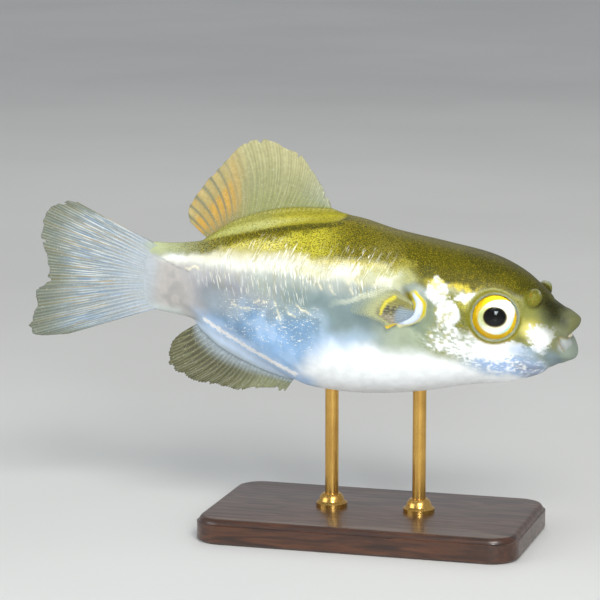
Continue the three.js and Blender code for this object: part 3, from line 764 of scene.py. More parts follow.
def paint_snout(p):
    """The grey snout with its dark bridge, the lips, the mouth's line and the nasal lobe."""
    p.speckle = p.speckle * (0.25 + 0.75 * ease(p.s, 4, 9))
    p.lay(ease(p.ws, 5.2, 1.6), SNOUT_GREY, 0.05)
    p.dab(3.5, 3.5, 2.9, 2.1, (36, 38, 26), 0.85, 0, soft=0.7, tilt=-40)
    p.dab(4.1, 5.3, 3.3, 1.4, (12, 13, 4), 1, 0, soft=0.7, tilt=-42)
    p.dab(7.6, -2.6, 2.6, 1.2, (62, 70, 80), 0.75, 0.1, soft=0.7, tilt=-20)
    p.dab(8.2, -0.3, 1.5, 0.8, (46, 46, 27), 0.85, 0, soft=0.7, tilt=15)
    p.dab(2.6, -3.6, 2.4, 1.7, (46, 53, 57), 0.8, 0.05, soft=0.5, tilt=-38)
    p.lay(ease(p.ws, 1.6, 0.0) * 0.7 * ease(p.z, 0.5, 2), (41, 42, 25))
    p.lay(ease(p.ws, 2.4, 0.8) * ease(p.z, 1.0, -0.5) * 0.8, (52, 57, 53))
    side = ease(np.abs(p.y), 0.8, 1.6)
    p.dab(1.1, -0.7, 0.9, 0.9, (70, 71, 72), side * 0.6, 0.1, soft=0.5)
    p.lay(p.line(MOUTH_LINE, 0.12, wander=0.1) * side * 0.8, (50, 44, 20))

    organ = local(p.s, np.abs(p.y), p.z, NASAL)
    across, out, along = organ @ NASAL_ACROSS, organ @ NASAL_OUT, organ @ NASAL_ALONG
    on_organ = ease(np.hypot(across / 1.7, along / 2.1), 1.15, 0.9) * ease(out, 0.2, 0.9)
    p.lay(on_organ, (45, 45, 15), 0)
    freckle = ease(noise(p.s, p.y, p.z, 0.36), 0.68, 0.80)
    p.lay(on_organ * freckle * 0.45, (62, 34, 6))
    pit = np.hypot(across - PIT.across, along - PIT.along)
    rim = bell(pit - PIT.rim, 0.22) * ease(along, 0.2, 1.2)
    p.lay(on_organ * rim * 0.7, (64, 69, 64))
    p.lay(ease(pit, 0.55, 0.2) * on_organ * 0.8, (36, 36, 16))


def paint_eye_ring(p):
    """The olive ring of skin round the eye, orange below and with a painted highlight along its top, and the
    grey socket.
    """
    along, out, radius = around_eye(p.s, np.abs(p.y), p.z)
    side = ease(along, 0, 1.5)
    ring = ease(out, radius + 0.2, radius - 0.1) * side
    p.lay(ring, (47, 46, 13), 0.1)
    p.lay(bell(out - radius - 0.1, 0.18) * side * ease(p.z, 2, 0) * 0.7, (62, 53, 12))
    # Painted highlight: a pale line along the top of the ring's fold.
    p.lay(bell(out - radius + 0.15, 0.16) * side * ease(p.z, 3, 5) * 0.6, (74, 74, 52), 0.3)
    p.lay(ease(out, 4.3, 4.1) * side, (55, 58, 50), 0.1)
    p.speckle = np.where(ring > 0.5, 0.3, p.speckle)


def paint_pectoral_base(p):
    """The yellow-edged lilac crescent of the pectoral base, the grey round it with painted shade below its
    front, and the gill opening.
    """
    along, height = pectoral_lobe(np.linspace(0, 1, LOBE_STEPS))
    away = to_line(p.s, p.z, list(zip(along - LOBE_AHEAD, height)))
    # Painted shade: dark teal-grey below and ahead of the crescent.
    p.dab(25.6, 0.2, 1.6, 1.0, (46, 52, 46), 0.7, soft=0.6, tilt=-30)
    p.dab(29.2, 3.0, 3.0, 2.6, (50, 52, 36), shine=0.1, soft=0.4)
    p.dab(28.6, 2.0, 1.7, 0.9, (50, 58, 64), 0.85, soft=0.5, tilt=-30)
    reach = np.interp(p.z, [0.3, 1.2, 2.2, 4.2, 5.8], [0.45, 0.9, 1.0, 0.85, 0.5])
    p.lay(ease(away, reach + 0.3, reach), (86, 84, 62))
    p.lay(ease(away, reach + 0.3, reach) * ease(p.z, 1.2, 2.6), (86, 79, 20))
    p.lay(ease(away, reach - 0.15, reach - 0.4), (80, 84, 92), 0.3)
    p.lay(p.line(GILL_SLIT, 0.6, wander=0), (46, 42, 5), 0)
    p.dab(27.6, 6.9, 1.4, 0.9, (48, 53, 52), 0.7, soft=0.5)


def on_fin_ridge(p, base, foot, up, lead):
    """Where the skin covers the ridge under a fin, and how far up it each point is, from 0 to 1."""
    along, height = base(np.linspace(0, 1, RIDGE_STEPS))
    start, end = along[0] - lead, along[-1]
    above = up * (p.z - foot(p.s))
    tall = up * (np.interp(p.s, along, height) - foot(p.s))
    covered = ease(above, -0.35, 0.15) * within(p.s, start - 0.8, start + 0.4, end - 0.4, end + 0.8)
    return covered, np.clip(above / np.maximum(tall, 0.3), 0, 1)


def paint_fin_ridges(p):
    """The yellow, beaded ridge of the dorsal fin with a painted pale sheen about its middle, and the blue,
    white-edged one of the anal fin.
    """
    ridge, rise = on_fin_ridge(p, dorsal_base, ridge_foot, 1, 2.8)
    p.lay(ridge, (66, 63, 18), 0.1)
    p.lay(ridge * ease(p.s, 52, 58) * 0.7, (66, 68, 42))
    p.lay(ridge * ease(rise, 0.45, 0.6) * 0.6, (50, 49, 17))
    # Painted sheen: a pale band low on the ridge, about its middle.
    p.lay(ridge * bell(rise - 0.25, 0.16) * bell(p.s - 56, 7) * 0.5, (80, 80, 54), 0.2)
    beads = 0.5 + 0.5 * np.cos((p.s + 1.2 * rise) * 2 * math.pi / 0.88)
    p.lay(ridge * ease(rise, 0.72, 0.88) * ease(beads, 0.3, 0.8) * 0.45, (78, 77, 52))
    p.speckle = p.speckle * (1 - 0.5 * ridge)

    ridge, rise = on_fin_ridge(p, anal_base, belly, -1, 0)
    p.lay(ridge, (72, 78.5, 86), 0.15)
    p.lay(ridge * ease(rise, 0.4, 0.9) * 0.6, (62, 66, 64))
    p.speckle = p.speckle * (1 - 0.5 * ridge)
    p.lay(p.broken(p.line(ANAL_LINE, 0.6) * 0.95, 0.4, 0.9), (100, 100, 100), 0.35)


def skin_material():
    """Wet skin: speckles on the back, leaning streaks on the flank with painted shade lines among them, and
    dashes on the blue side.
    """
    g = Shader("skin")
    level = g.attribute("level", "Vector")
    marks = g.node("SeparateColor", {"Color": g.attribute("marks")})
    speckle, streak, glint = marks.outputs
    shine = g.attribute("shine", "Fac")

    grain = g.noise(level, 4.4, detail=3)
    color, _ = g.flecks(g.attribute("coat"), grain, 0.53, 0.40, speckle, 0.8, (20, 20, 3))
    bright = g.noise(g.scaled(level, (1.1, 1.0, 0.9)), 4.6)
    color, _ = g.flecks(color, bright, 0.53, 0.66, speckle, 0.5, (80, 70, 10))
    blotches = g.noise(level, 1.7, detail=3)
    color, _ = g.flecks(color, blotches, 0.5, 0.68, speckle, 0.2, (62, 56, 10))

    axes = g.node("SeparateXYZ", {"Vector": level}).outputs
    bend = g.math("ABSOLUTE", g.math("SUBTRACT", axes["Z"], STREAK_BEND_Z))
    along = g.math("ADD", axes["X"], g.times(bend, STREAK_LEAN))
    lean = g.node("CombineXYZ", {"X": along, "Y": axes["Y"], "Z": axes["Z"]}).outputs[0]
    # Painted shade: dark yellow lines among the pale streaks.
    shade_lines = g.noise(g.scaled(lean, (3.2, 0.45, 0.4)), 1.0, detail=3, distortion=0.6)
    color, _ = g.flecks(color, shade_lines, 0.46, 0.40, streak, 0.45, (62, 57, 24))
    hairs = g.noise(g.scaled(lean, (4.0, 0.45, 0.42)), 1.0, distortion=0.6)
    color, raised = g.flecks(color, hairs, 0.57, 0.63, streak, 0.85, (100, 99, 93))
    dashes = g.noise(g.scaled(level, (1.5, 1.6, 3.2)), 1.0, distortion=1.2)
    color, _ = g.flecks(color, dashes, 0.60, 0.67, glint, 0.65, (100, 98, 90))

    cloud = g.noise(level, 0.55, detail=4)
    shade = g.node("HueSaturation", {"Color": color, "Value": g.between(cloud, 0.2, 0.8, 0.92, 1.08)})
    pores = g.math("ADD", g.times(grain, 0.6), g.times(raised, 0.8))
    return g.finish(
        Base_Color=shade.outputs["Color"], Metallic=g.times(shine, 0.55),
        Roughness=g.between(shine, 0.0, 0.8, 0.45, 0.30), Specular_IOR_Level=0.16,
        Normal=g.bump(pores, 0.00010, 0.5), Coat_Weight=0.04, Coat_Roughness=0.3,
    )


def make_skin():
    """One skin over all the nodes of flesh."""
    points, quads = flesh_mesh()
    p = paint_skin(*points.T)
    nodes = ["head", "trunk", "tail_stem", "upper_lip", "lower_lip", "dorsal_ridge", "anal_ridge"]
    nodes += [f"{node}_{side}" for node in ("nasal_organ", "pectoral_lobe") for side in ("left", "right")]
    add_fish_piece(
        "skin", points, facing_out(points, quads), skin_material(), "trunk", nodes,
        coat=rgba(p.color), marks=rgba(np.stack([p.speckle, p.streak, p.glint], -1)), shine=p.shine,
    )


# ---- eyes and teeth

PUPIL_WIDE, PUPIL_TALL = 2.05, 1.75
PUPIL_SUNK, IRIS_SUNK = 1.75, 1.30
EYE_TURNS = 72
CORNEA_THICK = 0.22
TOOTH_BEND, TOOTH_SEAM = 80, 0.12


def iris_material():
    g = Shader("iris")
    shine = g.attribute("shine", "Fac")
    fibres = g.noise(g.attribute("level", "Vector"), 3.0, detail=4, distortion=0.6)
    threads = g.times(g.between(fibres, 0.35, 0.7, 0.0, 0.4), shine)
    return g.finish(
        Base_Color=g.mix(threads, g.attribute("coat"), (55, 40, 8)), Metallic=shine,
        Roughness=g.between(shine, 0.0, 0.4, 0.9, 0.32), Specular_IOR_Level=0.05,
        Normal=g.bump(fibres, 0.00008, 0.4),
    )


def cornea_material():
    g = Shader("cornea")
    waves = g.noise(g.attribute("level", "Vector"), 0.6)
    return g.finish(
        Base_Color=(1, 1, 1, 1), Roughness=0.0, IOR=1.05, Transmission_Weight=1.0,
        Coat_Weight=0.25, Coat_Roughness=0.04, Normal=g.bump(waves, 0.00001, 0.1),
    )


def eye_rings(side, profile):
    """Rings round the eye's axis on one side, as (s, y, z) points."""
    rings = turned_rings((EYE.s, EYE.y, EYE.z), (EYE_FORE, EYE_UP, EYE_AXIS), profile, EYE_TURNS)
    return rings.reshape(-1, 3) * (1, side, 1)


def dome_height(radius):
    """Height of the eye's dome at so far from its axis."""
    return EYE.proud - EYE.dome + math.sqrt(EYE.dome ** 2 - radius ** 2)


def make_iris(side, word):
    """The golden and silver iris round a sunk dark pupil, and the back of the eyeball."""
    top, rim = dome_height(0), EYE.radius - 0.05
    rings = []
    for share in (0.02, 0.35, 0.7, 0.9):
        height = top - PUPIL_SUNK - 0.35 * (1 - share ** 2)
        rings.append(("pupil", PUPIL_WIDE * share, PUPIL_TALL * share, height))
    for share in np.linspace(0, 1, 20):
        wide, tall = PUPIL_WIDE + (rim - PUPIL_WIDE) * share, PUPIL_TALL + (rim - PUPIL_TALL) * share
        rings.append((share, wide, tall, top - IRIS_SUNK - 0.55 * share ** 1.5))
    for share in (0.97, 0.8, 0.4, 0.02):
        height = 0.2 - EYE.depth * math.sqrt(1 - share ** 2 * 0.9)
        rings.append(("back", rim * share, rim * share, height))
    looks = [iris_look(tone, around(EYE_TURNS)) for tone, *_ in rings]
    add_fish_piece(
        f"iris_{word}", eye_rings(side, [profile for _, *profile in rings]),
        ring_faces(len(rings), EYE_TURNS, flip=side < 0), iris_material(), "eyes", [f"eye_{word}"],
        coat=rgba(np.concatenate([color for color, _ in looks])),
        shine=np.repeat([shine for _, shine in looks], EYE_TURNS),
    )


def iris_look(tone, angle):
    """Colours and metal share round one ring of the eye; the angle runs from fore to up."""
    if tone == "pupil":
        return np.tile(linear((2, 2, 1.5)), (EYE_TURNS, 1)), 0.0
    if tone == "back":
        return np.tile(linear((30, 28, 20)), (EYE_TURNS, 1)), 0.0
    share = tone + 0.03 * np.sin(3 * angle + 1)
    # The gold ring starts late at the upper front, so the silver runs to the rim there: a painted highlight.
    gold_from = 0.58 - 0.17 * toward(angle, 2.6, 1.3) + 0.40 * toward(angle, 0.65, 0.5)
    pale_gold = np.clip(0.45 * ease(tone, 0.3, 0) + 0.9 * toward(angle, 3.0, 1.1), 0, 1)
    turquoise = 0.9 * toward(angle, -0.7, 0.6) * bell(share - gold_from + 0.08, 0.06)
    blue = np.clip(toward(angle, 0.0, 0.8) + toward(angle, 3.2, 0.7) + 0.15, 0, 1)
    color = over(linear((88, 90, 87)), pale_gold, linear((68, 72, 48)))
    gold = over(linear((84, 70, 6)), 0.8 * toward(angle, -1.8, 1.2), linear((68, 53, 6)))
    color = over(color, ease(share, gold_from - 0.05, gold_from + 0.05), gold)
    color = over(color, turquoise, linear((35, 78, 75)))
    color = over(color, ease(share, 0.93, 0.98) * blue, linear((66, 80, 88)))
    return over(color, 0.8 * ease(tone, 0.06, 0.0), linear((40, 30, 8))), 0.45


def make_cornea(side, word):
    """The clear domed window over the iris, a thin closed shell."""
    radii = EYE.radius * np.linspace(0.02, 1, 14)
    profile = [(r, r, dome_height(r)) for r in radii]
    profile += [(r * 0.985, r * 0.985, dome_height(r) - CORNEA_THICK) for r in radii[::-1]]
    faces = ring_faces(len(profile), EYE_TURNS, flip=side > 0)
    points = eye_rings(side, profile)
    piece = add_fish_piece(f"cornea_{word}", points, faces, cornea_material(), "eyes", [f"eye_{word}"])
    piece.visible_shadow = False


def make_tooth():
    """The front of the beak: two fused plates with a seam between them, just seen in the mouth."""
    columns, rows = 41, 16
    bend = np.radians(np.linspace(-TOOTH_BEND, TOOTH_BEND, columns))
    a, b = np.meshgrid(bend, around(rows), indexing="ij")
    share = 1 - np.cos(a)
    reach = 0.62 - 0.2 * share - TOOTH_SEAM * bell(np.degrees(a), 5)
    s = 1.0 + 0.8 * share - reach * np.cos(b) * np.cos(a)
    y = np.sin(a) + reach * np.cos(b) * np.sin(a)
    points = np.stack([s, y, MOUTH.z + 0.95 * reach * np.sin(b)], -1).reshape(-1, 3)
    g = Shader("tooth")
    lines = g.noise(g.scaled(g.attribute("level", "Vector"), (1, 3, 0.6)), 2.0, detail=3)
    color = g.mix(g.between(lines, 0.35, 0.7), (80, 74, 58), (90, 87, 78))
    bone = g.finish(Base_Color=color, Roughness=0.28, Coat_Weight=0.4, Normal=g.bump(lines, 0.00005, 0.5))
    add_fish_piece("tooth", points, ring_faces(columns, rows), bone, "tooth", ["tooth_plate"])


# ---- fins


def ray_relief(u, v, rays, split, width):
    """How high a fin stands at (u, v): 1 on a ray, 0 between. Past the split each ray is two."""
    phase = (u * rays) % 1 - 0.5
    fork = 0.25 * ease(v, split, split + 0.35)
    return np.maximum(bell(phase + fork, width), bell(phase - fork, width))


def slab_faces(columns, rows):
    """Quads of a closed slab over a grid: one side, the other side and the wall between them."""
    index = np.arange(columns * rows).reshape(columns, rows)
    near = np.stack([index[:-1, :-1], index[1:, :-1], index[1:, 1:], index[:-1, 1:]], -1).reshape(-1, 4)
    rim = np.concatenate([index[:, 0], index[-1, 1:], index[-2::-1, -1], index[0, -2:0:-1]])
    nxt = np.roll(rim, -1)
    wall = np.stack([nxt, rim, rim + columns * rows, nxt + columns * rows], -1)
    return np.concatenate([near, near[:, ::-1] + columns * rows, wall])


def fin_material(name, mottled):
    """A thin membrane: its colour and clearness come from the piece, with fine mottling over them."""
    g = Shader(name)
    level = g.attribute("level", "Vector")
    mottle = g.noise(level, 1.6, detail=4)
    color = g.mix(g.between(mottle, 0.3, 0.7, 0.0, mottled), g.attribute("coat"), (30, 28, 16))
    glimmer = g.noise(level, 5.0)
    color = g.mix(g.between(glimmer, 0.62, 0.74, 0.0, 0.35), color, (96, 96, 90))
    return g.finish(
        Base_Color=color, Roughness=0.36, Alpha=g.attribute("solid", "Fac"),
        Normal=g.bump(mottle, 0.00006, 0.5), Coat_Weight=0.25, Coat_Roughness=0.2,
    )


def make_fin(node, slot, material, fin, side=0):
    """A closed, ribbed membrane over a fan of rays, in the middle plane or on one side."""
    columns = fin.rays * fin.steps + 1
    u, v = np.meshgrid(np.linspace(0, 1, columns), np.linspace(0, 1, fin.rows), indexing="ij")
    out = -fin.sink + v * (1 + fin.sink)  # starts inside the flesh, below 0
    inner = np.clip(out, 0, 1)
    s0, z0 = fin.base(u)
    s1, z1 = fin.tip(u)
    length = np.maximum(np.hypot(s1 - s0, z1 - z0), 1)
    relief = ray_relief(u, inner, fin.rays, fin.split(u), fin.width)
    ragged = fin.ragged * (noise(u * 40, 3, 0, 1.0) - 0.5) * 2
    ragged = ragged - fin.nicks * ease(noise(u * 32, 11, 0, 1.0), 0.30, 0.12)
    reach = out * (1 + v ** 6 * (0.35 * (relief - 1) * fin.scallop + ragged) / length)
    bow = fin.bow(u) * 4 * out * (1 - out) / length
    s = s0 + (s1 - s0) * reach - bow * (z1 - z0)
    z = z0 + (z1 - z0) * reach + bow * (s1 - s0)
    if side:
        middle = side * pectoral_place(u, s, z)
    else:
        wave = fin.wave * v * v * np.sin(2 * math.pi * (u + 0.15))
        middle = wave + 0.10 * v * np.sin(2 * math.pi * u * fin.rays / 2)
    half = 0.05 + fin.stout * (1 - 0.7 * inner) * relief * ease(out, -0.02, 0.1)
    half = half + fin.root * ease(out, 0.24, -0.1)
    points = np.concatenate([np.stack([s, middle + sign * half, z], -1).reshape(-1, 3) for sign in (1, -1)])
    faces = facing_out(points, slab_faces(columns, fin.rows))
    color, solid = fin.paint(u, inner, relief, s, z)
    add_fish_piece(
        f"{node}_rays", points, faces, material, slot, [node],
        coat=np.tile(rgba(color).reshape(-1, 4), (2, 1)), solid=np.tile(solid.ravel(), 2),
    )


def pectoral_place(u, s, z):
    """The pectoral fin springs from the flank and stands off it towards its tip."""
    s0, z0 = pectoral_base(u)
    return flank_at(s0, z0) + 0.45 + PECTORAL_FLARE * np.hypot(s - s0, z - z0)


def layered(start, *layers):
    """Linear colours: an sRGB start with (mask, sRGB colour) layers over it."""
    color = linear(start)
    for mask, tone in layers:
        color = over(color, mask, linear(tone))
    return color


def paint_dorsal(u, v, relief, s, z):
    """Olive in front and amber behind, with pale stripes between the rays."""
    rear, fore = ease(u, 0.66, 0.84), ease(u, 0.4, 0.1)
    amber = rear * (0.35 + 0.65 * ease(noise(u * 14, 0, v * 2.5, 1.0), 0.3, 0.6))
    stripes = noise(u * 110, 5, v * 1.5, 1.0)
    color = layered(
        (62, 62, 42),
        (ease(v, 0.4, 1.0) * 0.75, (76, 73, 53)),
        (fore * 0.6, (54, 59, 51)),
        (ease(v, 0.45, 0.05) * 0.7, (58, 60, 32)),
        (amber, (82, 64, 25)),
        (rear * relief * 0.95, (46, 47, 38)),
        (rear * ease(v, 0.42, 0.0) * 0.75, (58, 54, 34)),
        ((1 - rear) * (1 - relief) * 0.25, (52, 54, 42)),
        ((1 - rear) * ease(stripes, 0.6, 0.8) * 0.25, (80, 78, 62)),
    )
    return color, 0.84 + 0.13 * relief


def paint_anal(u, v, relief, s, z):
    """Dark olive, paler in front, with a blue root."""
    color = layered(
        (29, 29, 17),
        (ease(u, 0.6, 0.15) * 0.85, (58, 60, 44)),
        (relief * 0.5, (60, 60, 44)),
        (ease(v, 0.35, 0.0) * 0.85, (70, 76, 80)),
        (ease(v, 0.8, 1.0) * 0.4, (30, 29, 18)),
    )
    return color, 0.80 + 0.16 * relief


def paint_caudal(u, v, relief, s, z):
    """Grey rays with silver glints, blue and gold between them, and an olive edge."""
    between_rays = 1 - relief
    fine = ray_relief(u + 0.011, v, 22, 0.15, 0.13)
    glint = ease(noise(s * 0.5, u * 150, z * 0.2, 1.0), 0.42, 0.7) * relief
    gold = ease(noise(s * 0.3, u * 90 + 8, z * 0.1, 1.0), 0.35, 0.6) * between_rays * fine
    blue = ease(noise(s * 0.3, u * 90 + 30, z * 0.1, 1.0), 0.55, 0.7) * between_rays
    far = ease(v, 0.5, 0.95)
    color = layered(
        (48, 55, 59),
        (relief * 0.6, (66, 70, 71)),
        (blue * 0.6, (42, 58, 76)),
        (gold * 0.9, (74, 62, 34)),
        (glint * (0.75 - 0.3 * far - 0.4 * ease(u, 0.5, 0.7)), (92, 93, 91)),
        (far * 0.7, (45, 47, 36)),
        (ease(v, 0.65, 1.0) * between_rays * 0.5, (30, 29, 16)),
        (ease(v, 0.55, 0.0) * 0.7, (70, 73, 75)),
        (ease(v, 0.1, 0.0) * ease(u, 0.14, 0.04) * 0.8, (66, 70, 62)),
    )
    return color, 0.86 + 0.12 * relief + 0.1 * ease(v, 0.3, 0.0)


def paint_pectoral(u, v, relief, s, z):
    """A film that is nearly clear, over a speckled fleshy root with a yellow arc at its end."""
    arc = ease(to_line(s, z, PECTORAL_ARC), np.interp(z, [2.0, 4.2], [0.25, 0.65]), 0.1)
    root = ease(v, 0.62, 0.42) * ease(u, 0.10, 0.2)
    specks = ease(noise(s, 0, z, 0.35), 0.40, 0.60) * root * ease(v, 0.1, 0.3)
    lead, low = ease(u, 0.22, 0.0), ease(u, 0.94, 0.98) * ease(s, 33, 32)
    rear = ease(u, 0.5, 0.8)
    inner = ease(v, 0.95, 0.6)
    color = layered(
        (60, 64, 52),
        (relief * 0.4, (72, 74, 64)),
        (inner * 0.8, (80, 80, 54)),
        (lead * 0.8, (54, 54, 36)),
        (root, (50, 48, 18)),
        (root * ease(v, 0.25, 0.5) * ease(z, 4.2, 2.8) * 0.7, (68, 65, 48)),
        (root * rear, (70, 66, 56)),
        (specks * (0.85 - 0.5 * rear), (21, 19, 9)),
        (root * ease(v, 0.3, 0.18) * ease(u, 0.3, 0.5) * 0.9, (50, 58, 64)),
        (arc, (84, 79, 16)),
        (low, (84, 72, 12)),
    )
    film = 0.12 + 0.08 * relief + 0.35 * inner + 0.35 * lead * ease(v, 0.9, 0.4)
    return color, np.clip(np.max([film, 0.92 * root, 0.9 * arc, 0.85 * low], 0), 0, 1)


# rays and rows count the grid, with so many steps for each ray. sink is the share of the length inside
# the flesh, stout and root are half thicknesses on a ray and at the root, and width is a ray's share of
# its place. A ray forks at split and bends back by bow. scallop, ragged and nicks cut the edge, and
# wave bends the fin sideways.
DORSAL = SimpleNamespace(
    base=dorsal_base, tip=dorsal_tip, rays=28, steps=12, rows=60, sink=0.06, stout=0.06, root=0,
    width=0.16, split=lambda u: 0.12 + 0.75 * ease(u, 0.60, 0.74), bow=lambda u: 7 * u * u * (1 - u),
    scallop=0.2, ragged=0.1, nicks=0.7, wave=0.5, paint=paint_dorsal,
)
ANAL = SimpleNamespace(
    base=anal_base, tip=anal_tip, rays=30, steps=10, rows=48, sink=0.1, stout=0.08, root=0,
    width=0.15, split=lambda u: 0.4, bow=lambda u: -2.4 * u * (1 - u),
    scallop=0.7, ragged=0.3, nicks=0.5, wave=-0.45, paint=paint_anal,
)
CAUDAL = SimpleNamespace(
    base=caudal_base, tip=caudal_tip, rays=28, steps=12, rows=80, sink=0.16, stout=0.08, root=0.5,
    width=0.16, split=lambda u: 0.15, bow=lambda u: 0,
    scallop=0.25, ragged=0.25, nicks=0.8, wave=0.7, paint=paint_caudal,
)
PECTORAL = SimpleNamespace(
    base=pectoral_base, tip=pectoral_tip, rays=14, steps=10, rows=48, sink=0.05, stout=0.05, root=0,
    width=0.15, split=lambda u: 0.4, bow=lambda u: 0,
    scallop=0.3, ragged=0.1, nicks=0.0, paint=paint_pectoral,
)


def make_fins():
    for word, fin, mottled in (("dorsal", DORSAL, 0.18), ("anal", ANAL, 0.35), ("caudal", CAUDAL, 0.12)):
        node = f"{word}_fin"
        make_fin(node, node, fin_material(f"{word}_membrane", mottled), fin)
    clear = fin_material("pectoral_membrane", 0.05)
    for side, word in SIDES:
        make_fin(f"pectoral_fin_{word}", "pectoral_fins", clear, PECTORAL, side)


# ---- the stand

BASE_LENGTH, BASE_WIDTH, BASE_CORNER = 58.0, 32.0, 5.0
CORNER_STEPS = 14
ROD_RADIUS, ROD_BEVEL = 1.2, 0.15
LATHE_TURNS = 48

# The base's edge as (inset, height) and the collars as (radius, height), from below.
BASE_PROFILE = [(0.5, 0.0), (0.0, 0.5), (0.0, 3.4), (0.35, 3.55), (0.45, 3.9), (0.8, 4.35), (1.3, 4.5)]
COLLAR_PROFILE = [
    (1.25, 4.5), (2.8, 4.5), (2.8, 5.2), (2.55, 5.45), (2.3, 5.6), (2.15, 6.1), (1.9, 6.6), (1.55, 6.9),
    (1.25, 6.9),
]


def add_stand_piece(name, rings, material, slot, node, crisp):
    """A closed piece made of rings of points in millimetres; edges over so many degrees stay crisp."""
    faces = ring_faces(len(rings), len(rings[0]))
    piece = add_mesh(name, np.reshape(rings, (-1, 3)) * MM, faces, material, slot, [node])
    piece.data.set_sharp_from_angle(angle=math.radians(crisp))


def rounded_outline(inset):
    """The base's outline in plan, moved in by so much."""
    x, y = BASE_LENGTH / 2 - BASE_CORNER, BASE_WIDTH / 2 - BASE_CORNER
    radius = BASE_CORNER - inset
    points = []
    for quarter, (cx, cy) in enumerate(((x, y), (-x, y), (-x, -y), (x, -y))):
        for angle in np.radians(np.linspace(90 * quarter, 90 * quarter + 90, CORNER_STEPS)):
            points.append((cx + radius * math.cos(angle), cy + radius * math.sin(angle)))
    return points


def make_base():
    """Stained wood with long grain, darker bands and fine pores."""
    g = Shader("stained_wood")
    place = g.place()
    grain = g.noise(g.scaled(place, (90, 900, 900)), 1.0, detail=6, distortion=1.2)
    bands = g.noise(g.scaled(place, (25, 260, 200)), 1.0, detail=3, distortion=2.0)
    pores = g.noise(g.scaled(place, (300, 4200, 4200)), 1.0)
    color = g.mix(g.between(grain, 0.32, 0.68), (17, 9.5, 6), (34, 20, 12))
    color = g.mix(g.between(bands, 0.35, 0.65, 0.0, 0.6), color, (23, 13, 8))
    color = g.mix(g.between(pores, 0.62, 0.75, 0.0, 0.6), color, (8, 4.5, 3))
    wood = g.finish(
        Base_Color=color, Roughness=g.between(grain, 0.3, 0.7, 0.42, 0.32),
        Normal=g.bump(pores, 0.00005, 0.5), Coat_Weight=0.3, Coat_Roughness=0.15,
    )
    rings = [[(x, y, height) for x, y in rounded_outline(inset)] for inset, height in BASE_PROFILE]
    add_stand_piece("stand_base_wood", rings, wood, "stand_base", "stand_base", 40)


def brass_material():
    """Brushed brass with a little tarnish."""
    g = Shader("brass")
    place = g.place()
    brushed = g.noise(g.scaled(place, (3000, 3000, 120)), 1.0, detail=3)
    tarnish = g.noise(place, 220.0, detail=4)
    color = g.mix(g.between(tarnish, 0.35, 0.75, 0.0, 0.5), (84, 67, 36), (66, 48, 24))
    return g.finish(
        Base_Color=color, Metallic=1.0, Roughness=g.between(brushed, 0.3, 0.7, 0.20, 0.34),
        Normal=g.bump(brushed, 0.00001, 0.4),
    )


def make_rods():
    """Two rods up into the belly, each in its turned collar."""
    brass = brass_material()
    for word in ("front", "rear"):
        low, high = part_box(f"stand_rod_{word}")
        x = (low.x + high.x) / 2 / MM
        bottom, top = low.z / MM, high.z / MM
        rod = [
            (ROD_RADIUS - ROD_BEVEL, bottom), (ROD_RADIUS, bottom + ROD_BEVEL),
            (ROD_RADIUS, top - ROD_BEVEL), (ROD_RADIUS - ROD_BEVEL, top),
        ]
        for kind, profile in (("rod", rod), ("collar", COLLAR_PROFILE)):
            rows = [(radius, radius, height) for radius, height in profile]
            rings = turned_rings((x, 0, 0), np.eye(3), rows, LATHE_TURNS)
            add_stand_piece(f"{kind}_{word}_brass", rings, brass, "stand_rods", f"stand_{kind}_{word}", 35)


# ---- floor, lights and camera

VIEW_AZIMUTH, VIEW_ELEVATION = math.radians(16), math.radians(10)
VIEW_DISTANCE = 0.531
VIEW_TARGET = Vector((-0.0134, 0.0, 0.0415))
LENS, SENSOR = 180.0, 36.0
LIT_PLACE = Vector((-0.013, 0.0, 0.04))
FLOOR_REACH = 3.0


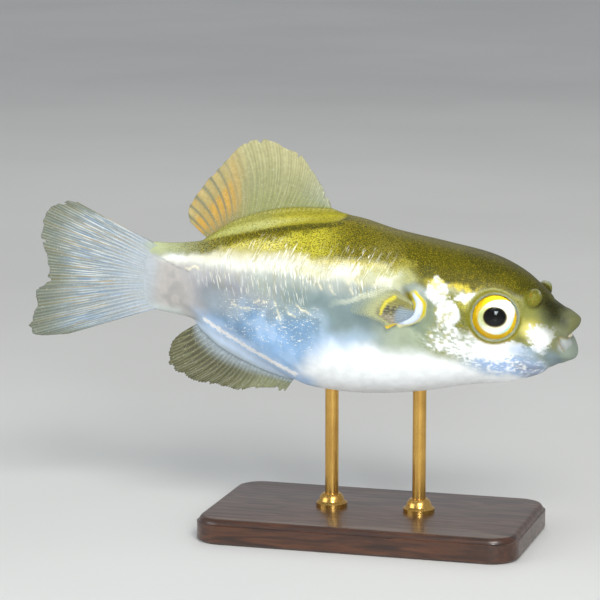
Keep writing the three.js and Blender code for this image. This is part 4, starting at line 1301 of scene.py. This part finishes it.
def make_floor():
    mesh = bpy.data.meshes.new("floor")
    corners = [(x * FLOOR_REACH, y * FLOOR_REACH, 0) for x, y in ((-1, -1), (1, -1), (1, 1), (-1, 1))]
    mesh.from_pydata(corners, [], [(0, 1, 2, 3)])
    g = Shader("pale_floor")
    dust = g.noise(g.place(), 6.0, detail=3)
    color = g.mix(g.between(dust, 0.3, 0.7), (84, 84, 83), (87, 87, 86))
    mesh.materials.append(g.finish(Base_Color=color, Roughness=0.7))
    floor = link_object("floor", mesh)


def aim(made, direction):
    """Turns a light or camera to look along a direction, upright."""
    made.rotation_euler = direction.to_track_quat("-Z", "Y").to_euler()


def add_softbox(name, place, size, watts, color):
    """A rectangular light that shines on the fish and isn't seen itself."""
    light = bpy.data.lights.new(name, "AREA")
    light.shape, light.size, light.size_y = "RECTANGLE", *size
    light.energy, light.color = watts, color
    lamp = link_object(name, light)
    lamp.location = place
    lamp.visible_camera = False
    aim(lamp, LIT_PLACE - Vector(place))


def make_lights():
    add_softbox("key", (0.22, -0.42, 0.42), (0.30, 0.22), 2.4, (1.0, 0.98, 0.94))
    add_softbox("fill", (-0.45, -0.35, 0.22), (0.4, 0.3), 1.0, (0.90, 0.95, 1.0))
    add_softbox("front", (0.222, -0.504, 0.18), (0.10, 0.09), 1.1, (0.88, 0.94, 1.0))
    add_softbox("back", (-0.1, 0.5, 0.4), (0.4, 0.25), 0.3, (1.0, 0.98, 0.88))
    world = bpy.data.worlds.new("studio")
    world.use_nodes = True
    sky = world.node_tree.nodes["Background"]
    sky.inputs["Color"].default_value = (0.93, 0.96, 1.0, 1.0)
    sky.inputs["Strength"].default_value = 0.45
    bpy.context.scene.world = world


def make_camera():
    out = Vector((
        math.sin(VIEW_AZIMUTH) * math.cos(VIEW_ELEVATION),
        -math.cos(VIEW_AZIMUTH) * math.cos(VIEW_ELEVATION),
        math.sin(VIEW_ELEVATION),
    ))
    data = bpy.data.cameras.new("camera")
    data.lens, data.sensor_width, data.clip_start = LENS, SENSOR, 0.01
    camera = link_object("camera", data)
    camera.location = VIEW_TARGET + out * VIEW_DISTANCE
    aim(camera, -out)
    bpy.context.scene.camera = camera


make_camera()
make_skin()
for eye_side, eye_word in SIDES:
    make_iris(eye_side, eye_word)
    make_cornea(eye_side, eye_word)
make_tooth()
make_fins()
make_base()
make_rods()
make_floor()
make_lights()
bpy.context.scene.view_settings.view_transform = "Standard"
